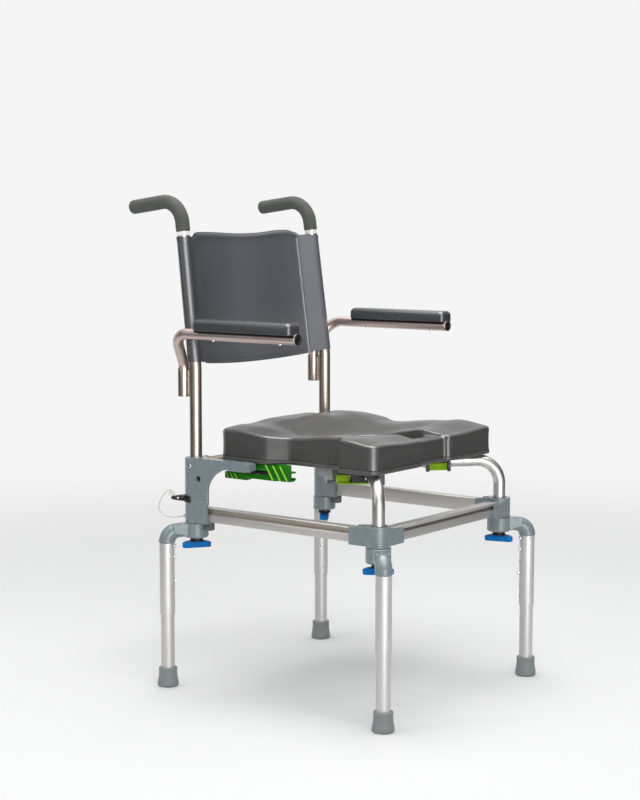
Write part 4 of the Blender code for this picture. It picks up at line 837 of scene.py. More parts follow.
def rail_profile():
    r = 0.0010
    lip = 0.0010
    return [(-RAIL_HALF, RAIL_BOTTOM + r), (-RAIL_HALF + r, RAIL_BOTTOM), (RAIL_HALF - r, RAIL_BOTTOM),
            (RAIL_HALF, RAIL_BOTTOM + r), (RAIL_HALF, GROOVE_BOTTOM - lip), (RAIL_HALF - lip * 0.5, GROOVE_BOTTOM),
            (RAIL_HALF - 0.0052, GROOVE_BOTTOM), (RAIL_HALF - 0.0052, GROOVE_TOP), (RAIL_HALF - lip * 0.5, GROOVE_TOP),
            (RAIL_HALF, GROOVE_TOP + lip), (RAIL_HALF, RAIL_TOP - r), (RAIL_HALF - r, RAIL_TOP),
            (-RAIL_HALF + r, RAIL_TOP), (-RAIL_HALF, RAIL_TOP - r)]


def make_rails():
    profile = rail_profile()
    strip_in = RAIL_HALF - 0.0046
    strip_out = RAIL_HALF - 0.0062
    strip_z = (GROOVE_BOTTOM - 0.0004, GROOVE_TOP + 0.0004)
    reach = HALF_D - BOSS_R - 0.001
    for side in SIDES:
        body = soften(prism([(-HALF_W - u, z) for u, z in profile], -reach, reach, axis="y"), 0.0003, 2, 30.0)
        # faces of the upper band take the painted reflection and shade
        for face in body.faces:
            face.material_index = GROOVE_TOP < face.calc_center_median().z < RAIL_TOP - 0.0008
        pair(side, "side_rail_bar", body, [RAIL_SIDE, RAIL_BAND_REFLECTION], "side_rail")
        # strip in the groove's floor: painted shade of the groove
        strip = box(-HALF_W - strip_in, -HALF_W - strip_out, 0.001 - reach, reach - 0.001, *strip_z)
        pair(side, "side_rail_strip", strip, GROOVE_SHADE)
    reach = HALF_W - BOSS_R - 0.001
    body = soften(prism([(-HALF_D - u, z) for u, z in profile], -reach, reach, axis="x"), 0.0003, 2, 30.0)
    put("front_rail_bar", body, RAIL_FRONT, "frame", ["front_rail"])
    # strip in the front groove's floor: darker painted shade of the groove
    strip = box(0.001 - reach, reach - 0.001, -HALF_D - strip_in, -HALF_D - strip_out, *strip_z)
    put("front_rail_strip", strip, FRONT_GROOVE_SHADE)


def make_connectors():
    """Front corners: a boss for the seat tube with a sloping trough towards each rail."""
    x = -HALF_W
    y = -HALF_D
    peak = BOSS_R - 0.004
    play = RAIL_HALF + GAP
    above = BOSS_TOP + 0.01
    for side in SIDES:
        side_end = y + SIDE_ARM[side]
        front_end = x + FRONT_ARM[side]
        front_face = y - (SOCKET_HALF if side == "right" else BOSS_R - 0.0006)

        def trough(start, end, top, near, far, axis):
            return prism([(start, SOCKET_BOTTOM), (end, SOCKET_BOTTOM), (end, top), (start + peak, top + SOCKET_RISE),
                          (start, top + SOCKET_RISE)], near, far, axis=axis)

        body = cast(join(disc(BOSS_R, HUB_TOP + GAP, BOSS_TOP, 64, (x, y)),
                         trough(y, side_end, SIDE_ARM_TOP, x - SOCKET_HALF, x + SOCKET_HALF, "x"),
                         trough(x, front_end, FRONT_ARM_TOP, front_face, y + SOCKET_HALF, "y")), 0.0007, 4)
        body = cut(body,
                   box(x - play, x + play, y + BOSS_R, side_end + 0.01, RAIL_BOTTOM - GAP, above),
                   box(x + BOSS_R, front_end + 0.01, y - play, y + play, RAIL_BOTTOM - GAP, above),
                   disc(TUBE_R + GAP, RAIL_BOTTOM, above, 64, (x, y)))
        ring = round_edge([(TUBE_R + 0.0018, BOSS_TOP - 0.004), (TUBE_R + 0.0018, BOSS_TOP + 0.0010),
                           (TUBE_R + 0.0003, BOSS_TOP + 0.0010)], 0.0004) + [(TUBE_R + 0.0003, BOSS_TOP - 0.004)]
        pair(side, "connector", body, CASTING, "corner_connector")
        pair(side, "connector_ring", revolve(ring, 64, (x, y)), STOP)


def make_seat_tubes():
    end = (-HALF_W + SEAT_DIR[0] * SEAT_TUBE_RUN, -HALF_D + SEAT_DIR[1] * SEAT_TUBE_RUN, SEAT_TUBE_AXIS_Z)
    line = fillet([(-HALF_W, -HALF_D, RAIL_BOTTOM + GAP), (-HALF_W, -HALF_D, SEAT_TUBE_AXIS_Z), end], 0.050, 3.0)
    for side in SIDES:
        pair(side, "seat_rail", pipe(line, TUBE_R, TUBE_WALL, 56), ANODISED, "seat_tube")


def make_brackets():
    """Rear castings: column round the post, arm, web with its throat, rail socket and cross boss."""
    x = -HALF_W
    y = HALF_D
    face = x - BRACKET_FACE
    end = BRACKET_END
    low = BRACKET_ARM_BOTTOM
    tip = BRACKET_TIP_Y
    play = RAIL_HALF + GAP
    dent_floor = (face + 0.0045, 0.208, 0.4405)
    outer_way = (-1, 0, 0)
    arm_side = [(y, low), (tip + 0.010, low), (tip + 0.003, low + 0.0012), (tip, low + 0.0050), (tip, 0.4790),
                (tip + 0.001, 0.4815), (tip + 0.006, 0.4835), (y - 0.010, 0.4835), (y, BRACKET_TOP)]
    throat = [(end - 0.0045, 0.3885), (end - 0.0045, 0.416), (end - 0.0052, 0.4235), (end - 0.0075, 0.431),
              (end - 0.0115, 0.4385), (end - 0.017, 0.446), (end - 0.0240, 0.4525), (end - 0.032, 0.4575),
              (end - 0.0415, 0.4625), (end - 0.052, low + 0.0010)]
    web_side = [(y, SOCKET_BOTTOM), (end, SOCKET_BOTTOM), (end, BRACKET_SOCKET_TOP), *throat,
                (end - 0.052, low + 0.0060), (y, low + 0.0060)]
    for side in SIDES:
        body = cast(join(disc(BOSS_R, HUB_TOP + GAP, BRACKET_TOP, 64, (x, y)),
                         prism(web_side, face, face + BRACKET_WEB, axis="x"),
                         prism(arm_side, face, face + BRACKET_WALL, axis="x"),
                         box(face + 0.002, x + BRACKET_FACE, end + 0.0015, y, SOCKET_BOTTOM, RAIL_TOP - 0.0025),
                         bar(straight((x, y, CROSS_Z), (-CROSS_BOSS_X, y, CROSS_Z)), 0.0165, 48)), 0.0008, 9)
        dent = revolve(round_edge([(0.0, 0.0), (0.0062, 0.0), (0.0072, 0.01), (0.0, 0.01)], 0.0008), 40)
        body = cut(body, disc(TUBE_R + 0.0004, POST_FOOT, BRACKET_TOP + 0.02, 48, (x, y)),
                   box(x - play, x + play, end - 0.02, y - BOSS_R, RAIL_BOTTOM - GAP, RAIL_TOP + GAP),
                   turn(dent, facing(dent_floor, outer_way)))
        pair(side, "bracket", body, CASTING, "rear_bracket")
        # stop in the darker cast grey: painted shade under the bracket
        stop = box(x - 0.007, x + 0.007, end + 0.001, y - HUB_R - 0.0015, STOP_BOTTOM, SOCKET_BOTTOM + 0.0006)
        pair(side, "swing_stop", soften(stop, 0.0008, 3), STOP)
        # the dent's screw is black: a screw, whose black also paints the shade inside the dent
        for name, head, mat, place in (
                ("cross_screw", screw_head(0.0046, 0.0016), CHROME, (face, 0.2310, CROSS_Z)),
                ("dent_screw", screw_head(0.0052, 0.0016), BLACK, dent_floor),
                ("bracket_bump", dome(0.0034, 0.0014), CASTING, (face + 0.0002, 0.2010, 0.3920))):
            pair(side, name, turn(head, facing(place, outer_way)), mat)
    reach = HALF_W - TUBE_R - 0.0045
    cross = pipe(straight((-reach, HALF_D, CROSS_Z), (reach, HALF_D, CROSS_Z)), TUBE_R, TUBE_WALL, 48)
    put("cross_tube", cross, NICKEL, "frame", ["rear_cross_tube"])


def screw_head(radius, height):
    """Pan head with a hexagon socket."""
    head = revolve(round_edge([(0.0, -0.001), (radius, -0.001), (radius, height * 0.55), (radius * 0.75, height),
                               (0.0, height)], height * 0.3), 40)
    return cut(head, disc(radius * 0.42, height * 0.3, height + 0.001, 6))


# Back

def post_place(z):
    rise = max(0.0, z - POST_BEND_Z)
    whole = GRIP_CORNER_Z - POST_BEND_Z
    return (-HALF_W + (HALF_W - POST_TOP_X) * rise / whole, HALF_D + POST_LEAN * rise)


def post_line(start, end_cut):
    top = post_place(GRIP_CORNER_Z)
    corner = Vector((top[0], top[1], GRIP_CORNER_Z))
    tip = corner + Vector((0.0, 1.0, -POST_LEAN)).normalized() * (GRIP_LENGTH - end_cut)
    if start <= POST_BEND_Z:
        return fillet([(-HALF_W, HALF_D, start), (-HALF_W, HALF_D, POST_BEND_Z), corner, tip], [0.10, 0.050], 3.0)
    low = post_place(start)
    return fillet([(low[0], low[1], start), corner, tip], 0.050, 3.0)


def make_posts():
    for side in SIDES:
        pair(side, "post", pipe(post_line(POST_FOOT, 0.0055), TUBE_R, TUBE_WALL, 56), NICKEL, "back_post")
        sleeve = round_edge([(ARM_R + GAP, SLEEVE_BOTTOM), (SLEEVE_R, SLEEVE_BOTTOM), (SLEEVE_R, SLEEVE_TOP),
                             (ARM_R + GAP, SLEEVE_TOP)], 0.0005)
        pair(side, "arm_socket", revolve(sleeve, 56, (-HALF_W, SLEEVE_Y)), NICKEL)
        pair(side, "arm_weld", weld(), NICKEL)
        low, high = (Vector((*post_place(z), z)) for z in (SLING_TOP + 0.0012, GRIP_FROM_Z - 0.0006))
        pair(side, "white_band", pipe(straight(low, high), TUBE_R + 0.0007, 0.0005), WHITE)
        pair(side, "grip", push_grip(), FOAM, "push_grip")


def weld():
    """Two rippled weld beads in the grooves between post and arm socket."""
    steps = 59
    low = SLEEVE_BOTTOM + 0.003
    tall = SLEEVE_TOP - SLEEVE_BOTTOM - 0.006
    radii = [0.0030 + 0.0003 * math.sin(i * 1.3) for i in range(steps + 1)]
    beads = []
    for x in (-0.0042, 0.0042):
        line = [(Vector((-HALF_W + x, HALF_D + TUBE_R + 0.0030, low + tall * i / steps)), Vector((0, 0, 1)))
                for i in range(steps + 1)]
        beads.append(bar(line, radii, 16))
    return join(*beads)


def push_grip():
    """Foam sleeve round the post's bend, with a soft lower lip, a domed tip and a slightly uneven skin."""
    line = post_line(GRIP_FROM_Z, 0.0)
    tip, back = line[-1]
    first, along = line[0]
    low = first + along * 0.0016
    stations = [(first, along, GRIP_R - 0.0018), (first + along * 0.0005, along, GRIP_R - 0.0007),
                (low, along, GRIP_R)]
    stations += [(low.lerp(line[1][0], k / 8), along, GRIP_R) for k in range(1, 8)]
    stations += [(p, t, GRIP_R) for p, t in line[1:-1]]
    stations += [(line[-2][0].lerp(tip - back * 0.007, k / 19), back, GRIP_R) for k in range(1, 20)]
    for angle in [math.pi / 2 * k / 9 for k in range(1, 9)]:
        stations.append((tip - back * 0.007 * (1 - math.sin(angle)), back, GRIP_R - 0.0075 * (1 - math.cos(angle))))
    bm = bmesh.new()
    outer = skin(bm, stations, 56)
    inner = skin(bm, [(p, t, TUBE_R + GAP) for p, t in post_line(GRIP_FROM_Z, 0.0052)], 56)
    quads(bm, outer[0], inner[0])
    bm.faces.new(outer[-1])
    bm.faces.new(inner[-1])
    outward(bm)
    for vert in bm.verts:
        vert.co += vert.normal * (noise.noise(vert.co * 60.0) * 0.00025)
    return bm


def sling_height(along, share, far=False):
    """Height of a point of the sling: the panel between the seams has a sagging lower edge and a dipping upper
    one, which falls off before the far seam, and the sleeves round the posts end a little short of both."""
    across = min(1.0, along / SLING_SPAN)
    middle = 1.0 - across * across
    panel = 1.0 - ease(along, SLING_SEAM - 0.0005, SLING_SEAM + 0.0030)
    low = SLING_BOTTOM - SLING_SAG * middle - 0.0025 * panel
    high = SLING_TOP - 0.0005 + (0.0048 + 0.0042 * ease(across, 0.0, 0.65)) * panel
    if far:
        high += (0.0025 * ease(along, 0.050, 0.110) - 0.0060 * ease(along, SLING_SEAM - 0.028, SLING_SEAM)) * panel
    return low + (high - low) * share


def sling_path():
    """The section of the sling from the rear seam round one post, over the front and round the other post:
    ("flat", metres across, +1 rear or -1 front) or ("post", side, angle)."""
    seam = SLING_SEAM
    fine = [-0.0060 + 0.0005 * i for i in range(25)]
    span = SLING_SPAN - SLING_WRAP * math.sin(SLING_LEAN)
    front = [-span + (span - seam - 0.007) * i / 6 for i in range(6)]
    front += [-seam - step for step in reversed(fine)]
    front += [-seam + 0.0065 + 2 * (seam - 0.0065) * i / 36 for i in range(37)]
    front += [seam + step for step in fine]
    front += [seam + 0.007 + (span - seam - 0.007) * i / 6 for i in range(1, 7)]
    rear = [seam - 0.004 + (SLING_SPAN - seam + 0.004) * i / 10 for i in range(11)]
    turn_steps = [(math.pi + SLING_LEAN) * i / 22 for i in range(23)]
    path = [("flat", -a, 1.0) for a in rear]
    path += [("post", -1.0, math.pi / 2 + t) for t in turn_steps]
    path += [("flat", a, -1.0) for a in sorted(front)[1:-1]]
    path += [("post", 1.0, math.pi / 2 - t) for t in reversed(turn_steps)]
    path += [("flat", a, 1.0) for a in reversed(rear)]
    return path


def sling_point(spec, share):
    """Place of a point of the sling; between the seams it is one layer, and each seam has a crease and a cord edge."""
    kind, a, b = spec
    if kind == "post":
        z = sling_height(SLING_SPAN, share)
        px, py = post_place(z)
        return Vector(((-px if a > 0 else px) + SLING_WRAP * math.cos(b), py + SLING_WRAP * math.sin(b), z))
    along = abs(a)
    z = sling_height(along, share, a > 0)
    px, py = post_place(z)
    out = min(1.0, max(0.0, along - SLING_SEAM) / (SLING_SPAN - SLING_SEAM - SLING_WRAP * math.sin(SLING_LEAN)))
    offset = b * (0.0011 + (SLING_WRAP * (math.cos(SLING_LEAN) if b < 0 else 1.0) - 0.0011) * out)
    if b < 0:
        past = along - SLING_SEAM
        crease = 0.0011 * math.exp(-((past + 0.0016) / 0.0008) ** 2)
        edge = 0.0016 * math.exp(-((past - 0.0004) / 0.0011) ** 2)
        offset += crease - edge - 0.0009 * ease(past, 0.0, 0.002)
        hem = (1.0 - share) * (SLING_TOP - SLING_BOTTOM)
        if past < 0.0:
            offset -= 0.0030 * ease(hem, 0.0010, 0.0062) * (1.0 - ease(hem, 0.0085, 0.0100))
    bow = 0.024 * (1.0 - min(1.0, along / SLING_SPAN) ** 2)
    return Vector((a * (-px) / SLING_SPAN, py + bow + offset, z))


def make_sling():
    path = sling_path()
    hem = [0.0012 * i for i in range(10)]
    tall = SLING_TOP - SLING_BOTTOM
    shares = [h / tall for h in hem] + [(0.0120 + (tall - 0.0240) * i / 36) / tall for i in range(37)]
    shares += [1.0 - h / tall for h in reversed(hem)]
    bm = bmesh.new()
    grid = [[bm.verts.new(sling_point(spec, share)) for spec in path] for share in shares]
    for a, b in zip(grid, grid[1:]):
        for i in range(len(a) - 1):
            bm.faces.new((a[i], a[i + 1], b[i + 1], b[i]))
    obj = put("sling", outward(bm), SLING, "frame", ["back_sling"], smooth=60.0)
    group = obj.vertex_groups.new(name="thick")
    for r, share in enumerate(shares):
        edge = min(share, 1.0 - share) * tall
        thick = 0.45 + (0.40 * (1.0 - ease(edge, 0.0080, 0.0100)) if share > 0.5 else 0.0)
        group.add(list(range(r * len(path), (r + 1) * len(path))), thick, "REPLACE")
    step = obj.modifiers.new("cloth", "SOLIDIFY")
    step.thickness = 0.0030
    step.offset = 0.0
    step.vertex_group = "thick"
    step.use_even_offset = True
    front = [spec for spec in path if spec[0] == "flat" and spec[2] < 0 and abs(spec[1]) < SLING_SEAM - 0.003]
    rows = [[sling_point(spec, level / tall) + Vector((0.0, -0.0013, 0.0)) for spec in front]
            for level in (STITCH_IN, tall - STITCH_IN)]
    rows += [[sling_point(("flat", way * (SLING_SEAM + past), -1.0), share) + Vector((0.0, -0.0007, 0.0))
              for share in shares[1:-1]] for way in (-1.0, 1.0) for past in (0.0030, 0.0050)]
    put("sling_stitching", join(*[stitches(row) for row in rows]), THREAD)


def stitches(points):
    """Short threads end to end along a line of points."""
    whole = bmesh.new()
    spent = 0.0
    for a, b in zip(points, points[1:]):
        gap = (b - a).length
        way = (b - a) / gap
        while spent < gap:
            start = a + way * spent
            rings = skin(whole, [(start + way * STITCH_LENGTH * share, way, STITCH_R * size)
                                 for share, size in ((0.0, 0.4), (0.15, 1.0), (0.85, 1.0), (1.0, 0.4))], 6)
            whole.faces.new(rings[0])
            whole.faces.new(rings[-1])
            spent += STITCH_PITCH
        spent -= gap
    return outward(whole)


# Armrests

def arm_line(start):
    return fillet([(-HALF_W, SLEEVE_Y, start), (-HALF_W, SLEEVE_Y, SLEEVE_TOP + 0.0085), (-ARM_X, ARM_BACK, ARM_Z),
                   (-ARM_X, ARM_FRONT, ARM_Z)], [0.025, 0.042], 4.0)


def arc(cx, cy, radius, start, steps):
    """Points of a quarter circle that starts at an angle in degrees."""
    angles = [math.radians(start + 90 * i / steps) for i in range(steps + 1)]
    return [(cx + radius * math.cos(a), cy + radius * math.sin(a)) for a in angles]


def flat(points, z):
    return [(x, y, z) for x, y in points]


def rounded_rect(x0, x1, y0, y1, radius):
    corners = ((x1 - radius, y1 - radius, 0), (x0 + radius, y1 - radius, 90), (x0 + radius, y0 + radius, 180),
               (x1 - radius, y0 + radius, 270))
    return [point for cx, cy, start in corners for point in arc(cx, cy, radius, start, 8)]


def arm_pad():
    """Moulded pad with a groove for the tube, and the dark plate under it, whose black also paints the shadow between
    pad and tube.
    """
    def stack(profile):
        return layered([flat(rounded_rect(-PAD_X - PAD_HALF + inset, -PAD_X + PAD_HALF - inset, PAD_FRONT + inset,
                                          PAD_BACK - inset, 0.009 - inset * 0.5), z) for inset, z in profile])

    low = PAD_BOTTOM + 0.0018
    body = stack(round_edge([(0.006, low), (0.0, low), (0.0, PAD_TOP - 0.0065), (0.0048, PAD_TOP), (0.012, PAD_TOP)],
                            0.0022, 5))
    groove = bar(straight((-ARM_X, PAD_FRONT - 0.02, ARM_Z), (-ARM_X, PAD_BACK + 0.02, ARM_Z)), ARM_R + GAP, 48)
    plate = stack(((0.0022, PAD_BOTTOM - 0.0016), (0.0012, PAD_BOTTOM - 0.0008), (0.0012, low)))
    plate = cut(plate, groove.copy())
    return cut(body, groove), plate


def make_arms():
    bore = ARM_R - TUBE_WALL - GAP
    plug_end = Matrix.Translation((-ARM_X, ARM_FRONT, ARM_Z)) @ Matrix.Rotation(math.pi / 2, 4, "X")
    for side in SIDES:
        tube = pipe(arm_line(SLEEVE_BOTTOM + 0.001), ARM_R, TUBE_WALL, 48)
        pair(side, "arm_bar", tube, ARM_METAL, "arm_tube", body="armrest")
        pad, plate = arm_pad()
        pair(side, "arm_rest_pad", pad, PAD, "arm_pad", body="armrest")
        pair(side, "arm_pad_plate", plate, SHADE, body="armrest")
        plug = revolve(round_edge([(0.0, -0.012), (bore, -0.012), (bore, GAP), (ARM_R, GAP), (ARM_R, 0.0026),
                                   (0.0078, 0.0030), (0.0070, 0.0018), (0.0, 0.0016)], 0.0006), 48)
        pair(side, "arm_end", turn(plug, plug_end), BLACK, "arm_plug", body="armrest")
        for k, y in enumerate((0.145, -0.027)):
            head = turn(screw_head(0.0042, 0.0022), facing((-ARM_X, y, ARM_Z - ARM_R + 0.0003), (0, 0, -1)))
            pair(side, "arm_screw_%d" % k, head, CHROME, body="armrest")


# Seat

def seat_outline():
    """Outline of the seat, anticlockwise from the middle of the front, in even steps with soft corners."""
    front = SEAT_FRONT
    inner = BRIDGE_HALF
    half = [(0.0, BRIDGE_FRONT), (inner - 0.002, BRIDGE_FRONT)]
    half += arc(inner + 0.011, front + 0.011, 0.011, 180, 10)
    half += arc(SEAT_X - 0.020, front + 0.020, 0.020, -90, 14)
    half += [(SEAT_X, front + 0.082), (SEAT_X - 0.003, front + 0.089), (WAIST_X + 0.003, front + 0.097),
             (WAIST_X, front + 0.104), (WAIST_X, front + 0.225), (WAIST_X + 0.002, front + 0.231),
             (SEAT_X - 0.002, front + 0.269), (SEAT_X, front + 0.276)]
    half += arc(SEAT_X - 0.030, SEAT_BACK - 0.030, 0.030, 0, 16)
    half += [(0.0, SEAT_BACK)]
    loop = [Vector((x, y, 0.0)) for x, y in half + [(-x, y) for x, y in reversed(half[1:-1])]]
    fine = []
    for a, b in zip(loop, loop[1:] + loop[:1]):
        steps = max(1, round((b - a).length / 0.0025))
        fine += [a.lerp(b, i / steps) for i in range(steps)]
    for _ in range(2):
        fine = [(fine[i - 1] + fine[i] * 2 + fine[(i + 1) % len(fine)]) / 4 for i in range(len(fine))]
    return [(p.x, p.y) for p in fine]


def opening_point(x, y, margin=0.0):
    a = OPENING_A + margin
    b = OPENING_B + margin
    dy = y - OPENING_Y
    scale = (abs(x / a) ** 2.6 + abs(dy / b) ** 2.6) ** (-1 / 2.6)
    return (x * scale, OPENING_Y + dy * scale)


def seat_height(x, y):
    """Top of the cushion: domed lobes at the front, rising waist, dished middle and crowned back."""
    ax = abs(x)
    behind = y - SEAT_FRONT
    crown = ease(behind, 0.238, 0.343)
    fall = ease(y - SEAT_BACK, -0.025, 0.005)
    rise = 0.0100 * (1.0 - ease(behind, 0.113, 0.231))
    dome_z = 0.0012 * (1.0 - ease(behind, 0.083, 0.118)) - 0.0085 * (1.0 - ease(behind, 0.0, 0.078))
    side = SEAT_RIM_Z + rise + dome_z + 0.0085 * crown - 0.0030 * fall
    middle = SEAT_DISH_Z + 0.0355 * crown - 0.0050 * fall
    z = middle + (side - middle) * ease(ax, 0.050, 0.150)
    lobe = side - 0.0045 * (1.0 - ease(ax, 0.090, 0.190)) * (1.0 - ease(behind, 0.098, 0.158))
    z += (lobe - z) * (1.0 - ease(behind, 0.053, 0.198))
    if behind < 0.088:
        across = ax * (1.0 + 0.10 * behind / 0.088)
        z = BRIDGE_Z + (z - BRIDGE_Z) * ease(across, BRIDGE_HALF + 0.0010, BRIDGE_HALF + 0.0046)
    z += 0.0065 * crown * math.exp(-((ax - 0.160) / 0.045) ** 2) * (1.0 - 0.4 * fall)
    return z


def moved_in(points, amount):
    """Each outline point moved inward along the outline's own normal."""
    out = []
    for i, (x, y) in enumerate(points):
        ax, ay = points[i - 2]
        bx, by = points[(i + 2) % len(points)]
        length = math.hypot(bx - ax, by - ay)
        out.append((x - amount * (by - ay) / length, y + amount * (bx - ax) / length))
    return out


def make_cushion():
    """Side wall, rounded upper edge, top in to the opening, and the opening's lip and wall."""
    edge = seat_outline()
    bottom = TRAY_TOP + GAP
    round_r = 0.006
    lip = 0.0035
    layers = [flat(moved_in(edge, 0.0012), bottom), flat(edge, bottom + 0.0010)]
    for k in range(1, 5):
        pulled = moved_in(edge, 0.0008 * math.sin(math.pi * k / 5))
        layers.append([(x, y, bottom + 0.001 + (seat_height(x, y) - round_r - bottom - 0.001) * k / 5)
                       for x, y in pulled])

    def top(points, drop_z=0.0):
        layers.append([(x, y, seat_height(x, y) - drop_z) for x, y in points])

    for angle in [math.pi / 2 * k / 8 for k in range(8)]:
        top(moved_in(edge, round_r * (1 - math.cos(angle))), round_r * (1 - math.sin(angle)))
    start = moved_in(edge, round_r)
    wide = [opening_point(x, y, lip) for x, y in start]
    for t in [k / 26 for k in range(26)]:
        top([(x + (wx - x) * t, y + (wy - y) * t) for (x, y), (wx, wy) in zip(start, wide)])
    for angle in [math.pi / 2 * k / 6 for k in range(7)]:
        top([opening_point(x, y, lip * (1 - math.sin(angle))) for x, y in start], lip * (1 - math.cos(angle)))
    layers.append(flat([opening_point(x, y) for x, y in start], bottom))
    obj = put("cushion", layered(layers, wrap=True), CUSHION, "frame", ["seat_cushion"], smooth=50.0)


def clip_frame():
    """Matrix from a clip's own axes, +X along the seat tube, to the chair's."""
    length = math.hypot(*SEAT_DIR)
    ux, uy = (v / length for v in SEAT_DIR)
    return Matrix(((ux, -uy, 0.0, -HALF_W + ux * CLIP_AT), (uy, ux, 0.0, -HALF_D + uy * CLIP_AT),
                   (0.0, 0.0, 1.0, 0.0), (0.0, 0.0, 0.0, 1.0)))


def make_tray():
    loop = moved_in(seat_outline(), -0.0010)
    near = moved_in(loop, 0.0006)
    hole = [opening_point(x, y, -0.001) for x, y in loop]
    levels = ((moved_in(loop, 0.0016), TRAY_BOTTOM), (near, TRAY_BOTTOM + 0.0006), (loop, TRAY_BOTTOM + 0.0016),
              (loop, TRAY_TOP - 0.0006), (near, TRAY_TOP), (hole, TRAY_TOP), (hole, TRAY_BOTTOM))
    put("tray", layered([flat(points, z) for points, z in levels], wrap=True), TRAY, "frame", ["seat_tray"],
        smooth=50.0)
    back = SEAT_FRONT + 0.178
    front = SEAT_FRONT + 0.142
    for side in SIDES:
        fin = prism([(back, TRAY_BOTTOM - 0.0001), (back, 0.4625), (front + 0.002, 0.4540), (front, 0.4560),
                     (front, TRAY_BOTTOM - 0.0001)], 0.054 - SEAT_X, 0.065 - SEAT_X, axis="x")
        pair(side, "tray_fin", soften(fin, 0.0008, 3), FIN)


def make_clips():
    """Black saddles on the seat tubes, each with a lime catch that hinges under it."""
    place = clip_frame()
    reach = TUBE_R + 0.0008
    half = 0.0255
    ear = 0.0052
    wide = half - ear - 0.0004
    low = 0.4503
    floor_z = low + 0.0033
    under = TRAY_BOTTOM - 0.0004
    for side in SIDES:
        body = union(box(-half, half, -0.0225, -reach, 0.4672, under),
                     box(-half, -half + ear, -0.0255, -reach, 0.4485, 0.4712),
                     box(half - ear, half, -0.0255, -reach, 0.4485, 0.4712))
        body = join(body, union(box(-half, half, reach, 0.040, 0.4548, under),
                                box(-0.014, 0.014, 0.039, 0.068, 0.4690, under)))
        body = union(body, box(-half, half, -0.0225, 0.040, TRAY_BOTTOM - 0.0012, TRAY_BOTTOM - 0.0003))
        body = turn(soften(body, 0.0009, 3, 50.0), place)
        pair(side, "clip_saddle", body, BLACK, "front_clip")
        profile = [(-0.0212, low + 0.0015), (-0.0200, low), (0.066, low), (0.068, low + 0.0020), (0.068, 0.4672),
                   (0.066, 0.4680), (0.043, 0.4680), (0.0425, 0.4600), (0.0425, floor_z), (-0.0137, floor_z),
                   (-0.0137, 0.4650), (-0.0150, 0.4662), (-0.0200, 0.4662), (-0.0212, 0.4650)]
        lever = cut(prism(profile, -wide, wide, axis="x"),
                    box(-wide - 0.01, -0.0130, 0.0415, 0.08, floor_z, 0.48),
                    box(0.0130, wide + 0.01, 0.0415, 0.08, floor_z, 0.48))
        lever = turn(soften(lever, 0.0007, 3, 50.0), place)
        pair(side, "clip_catch", lever, LIME, "clip_lever", body="clip_catch")


def make_latches():
    """Green sliding latches; each moves along a dark hook of the tray that shows in its slot."""
    top = TRAY_BOTTOM - GAP
    front = LATCH_FRONT
    back = LATCH_BACK
    out = -LATCH_OUT
    into = -LATCH_IN
    middle = (out + into) / 2
    for side in SIDES:
        plate = prism([(front, 0.4545), (front + 0.006, 0.4495), (front + 0.0465, 0.4495), (front + 0.0655, top),
                       (front + 0.038, top), (front + 0.034, top + 0.0035), (front, top + 0.0035)], out,
                      out + LATCH_PLATE, axis="x")
        shelf = box(out + 0.002, into, front, front + 0.058, 0.4665, 0.4695)
        lip = prism([(out + 0.001, 0.4502), (into - 0.005, 0.4502), (into, 0.4540), (into, 0.4565),
                     (into - 0.006, 0.4535), (out + 0.001, 0.4535)], front, front + 0.045, axis="y")
        bars = prism([(front + 0.040, 0.4482), (front + 0.114, 0.4482), (front + 0.116, 0.4435),
                      (back - 0.002, 0.4435), (back, 0.4455), (back, 0.4570), (front + 0.116, 0.4580),
                      (front + 0.056, 0.4580), (front + 0.060, 0.4670), (front + 0.100, 0.4670),
                      (front + 0.100, top), (front + 0.045, top)], out + 0.002, into, axis="x")
        body = soften(union(bars, plate, shelf, lip), 0.0006, 3)
        pair(side, "latch_body", body, GREEN, "rear_latch", body="latch")

        def rib(low_y, high_y, width, low_z, high_z, near, far):
            return soften(prism([(low_y, low_z), (low_y + width, low_z), (high_y + width, high_z), (high_y, high_z)],
                                out + near, out + far, axis="x"), 0.0004, 2)

        ribs = [rib(front + y, front + y + 0.0190, 0.0034, 0.4505, top - 0.001, -0.0018, 0.001)
                for y in (0.0430, 0.0240, 0.0060)]
        ribs += [rib(back - y, back - y + 0.007, 0.0022, 0.4450, 0.4560, 0.0004, 0.003) for y in (0.012, 0.023, 0.034)]
        # ribs in the paler green: painted highlight
        pair(side, "latch_ribs", join(*ribs), RIB_HIGHLIGHT, body="latch")
        rod = bar(straight((middle, front + 0.0585, 0.4625), (middle, front + 0.1060, 0.4625)), 0.0034, 24)
        lug = box(middle - 0.004, middle + 0.004, front + 0.1015, front + 0.1085, 0.4585, TRAY_BOTTOM)
        pair(side, "latch_hook", soften(union(rod, lug), 0.0008, 3), BLACK)


def pin_point(reach, z, across=0.0):
    return Vector((-HALF_W + PIN_DIR[0] * reach - PIN_DIR[1] * across,
                   HALF_D + PIN_DIR[1] * reach + PIN_DIR[0] * across, z))


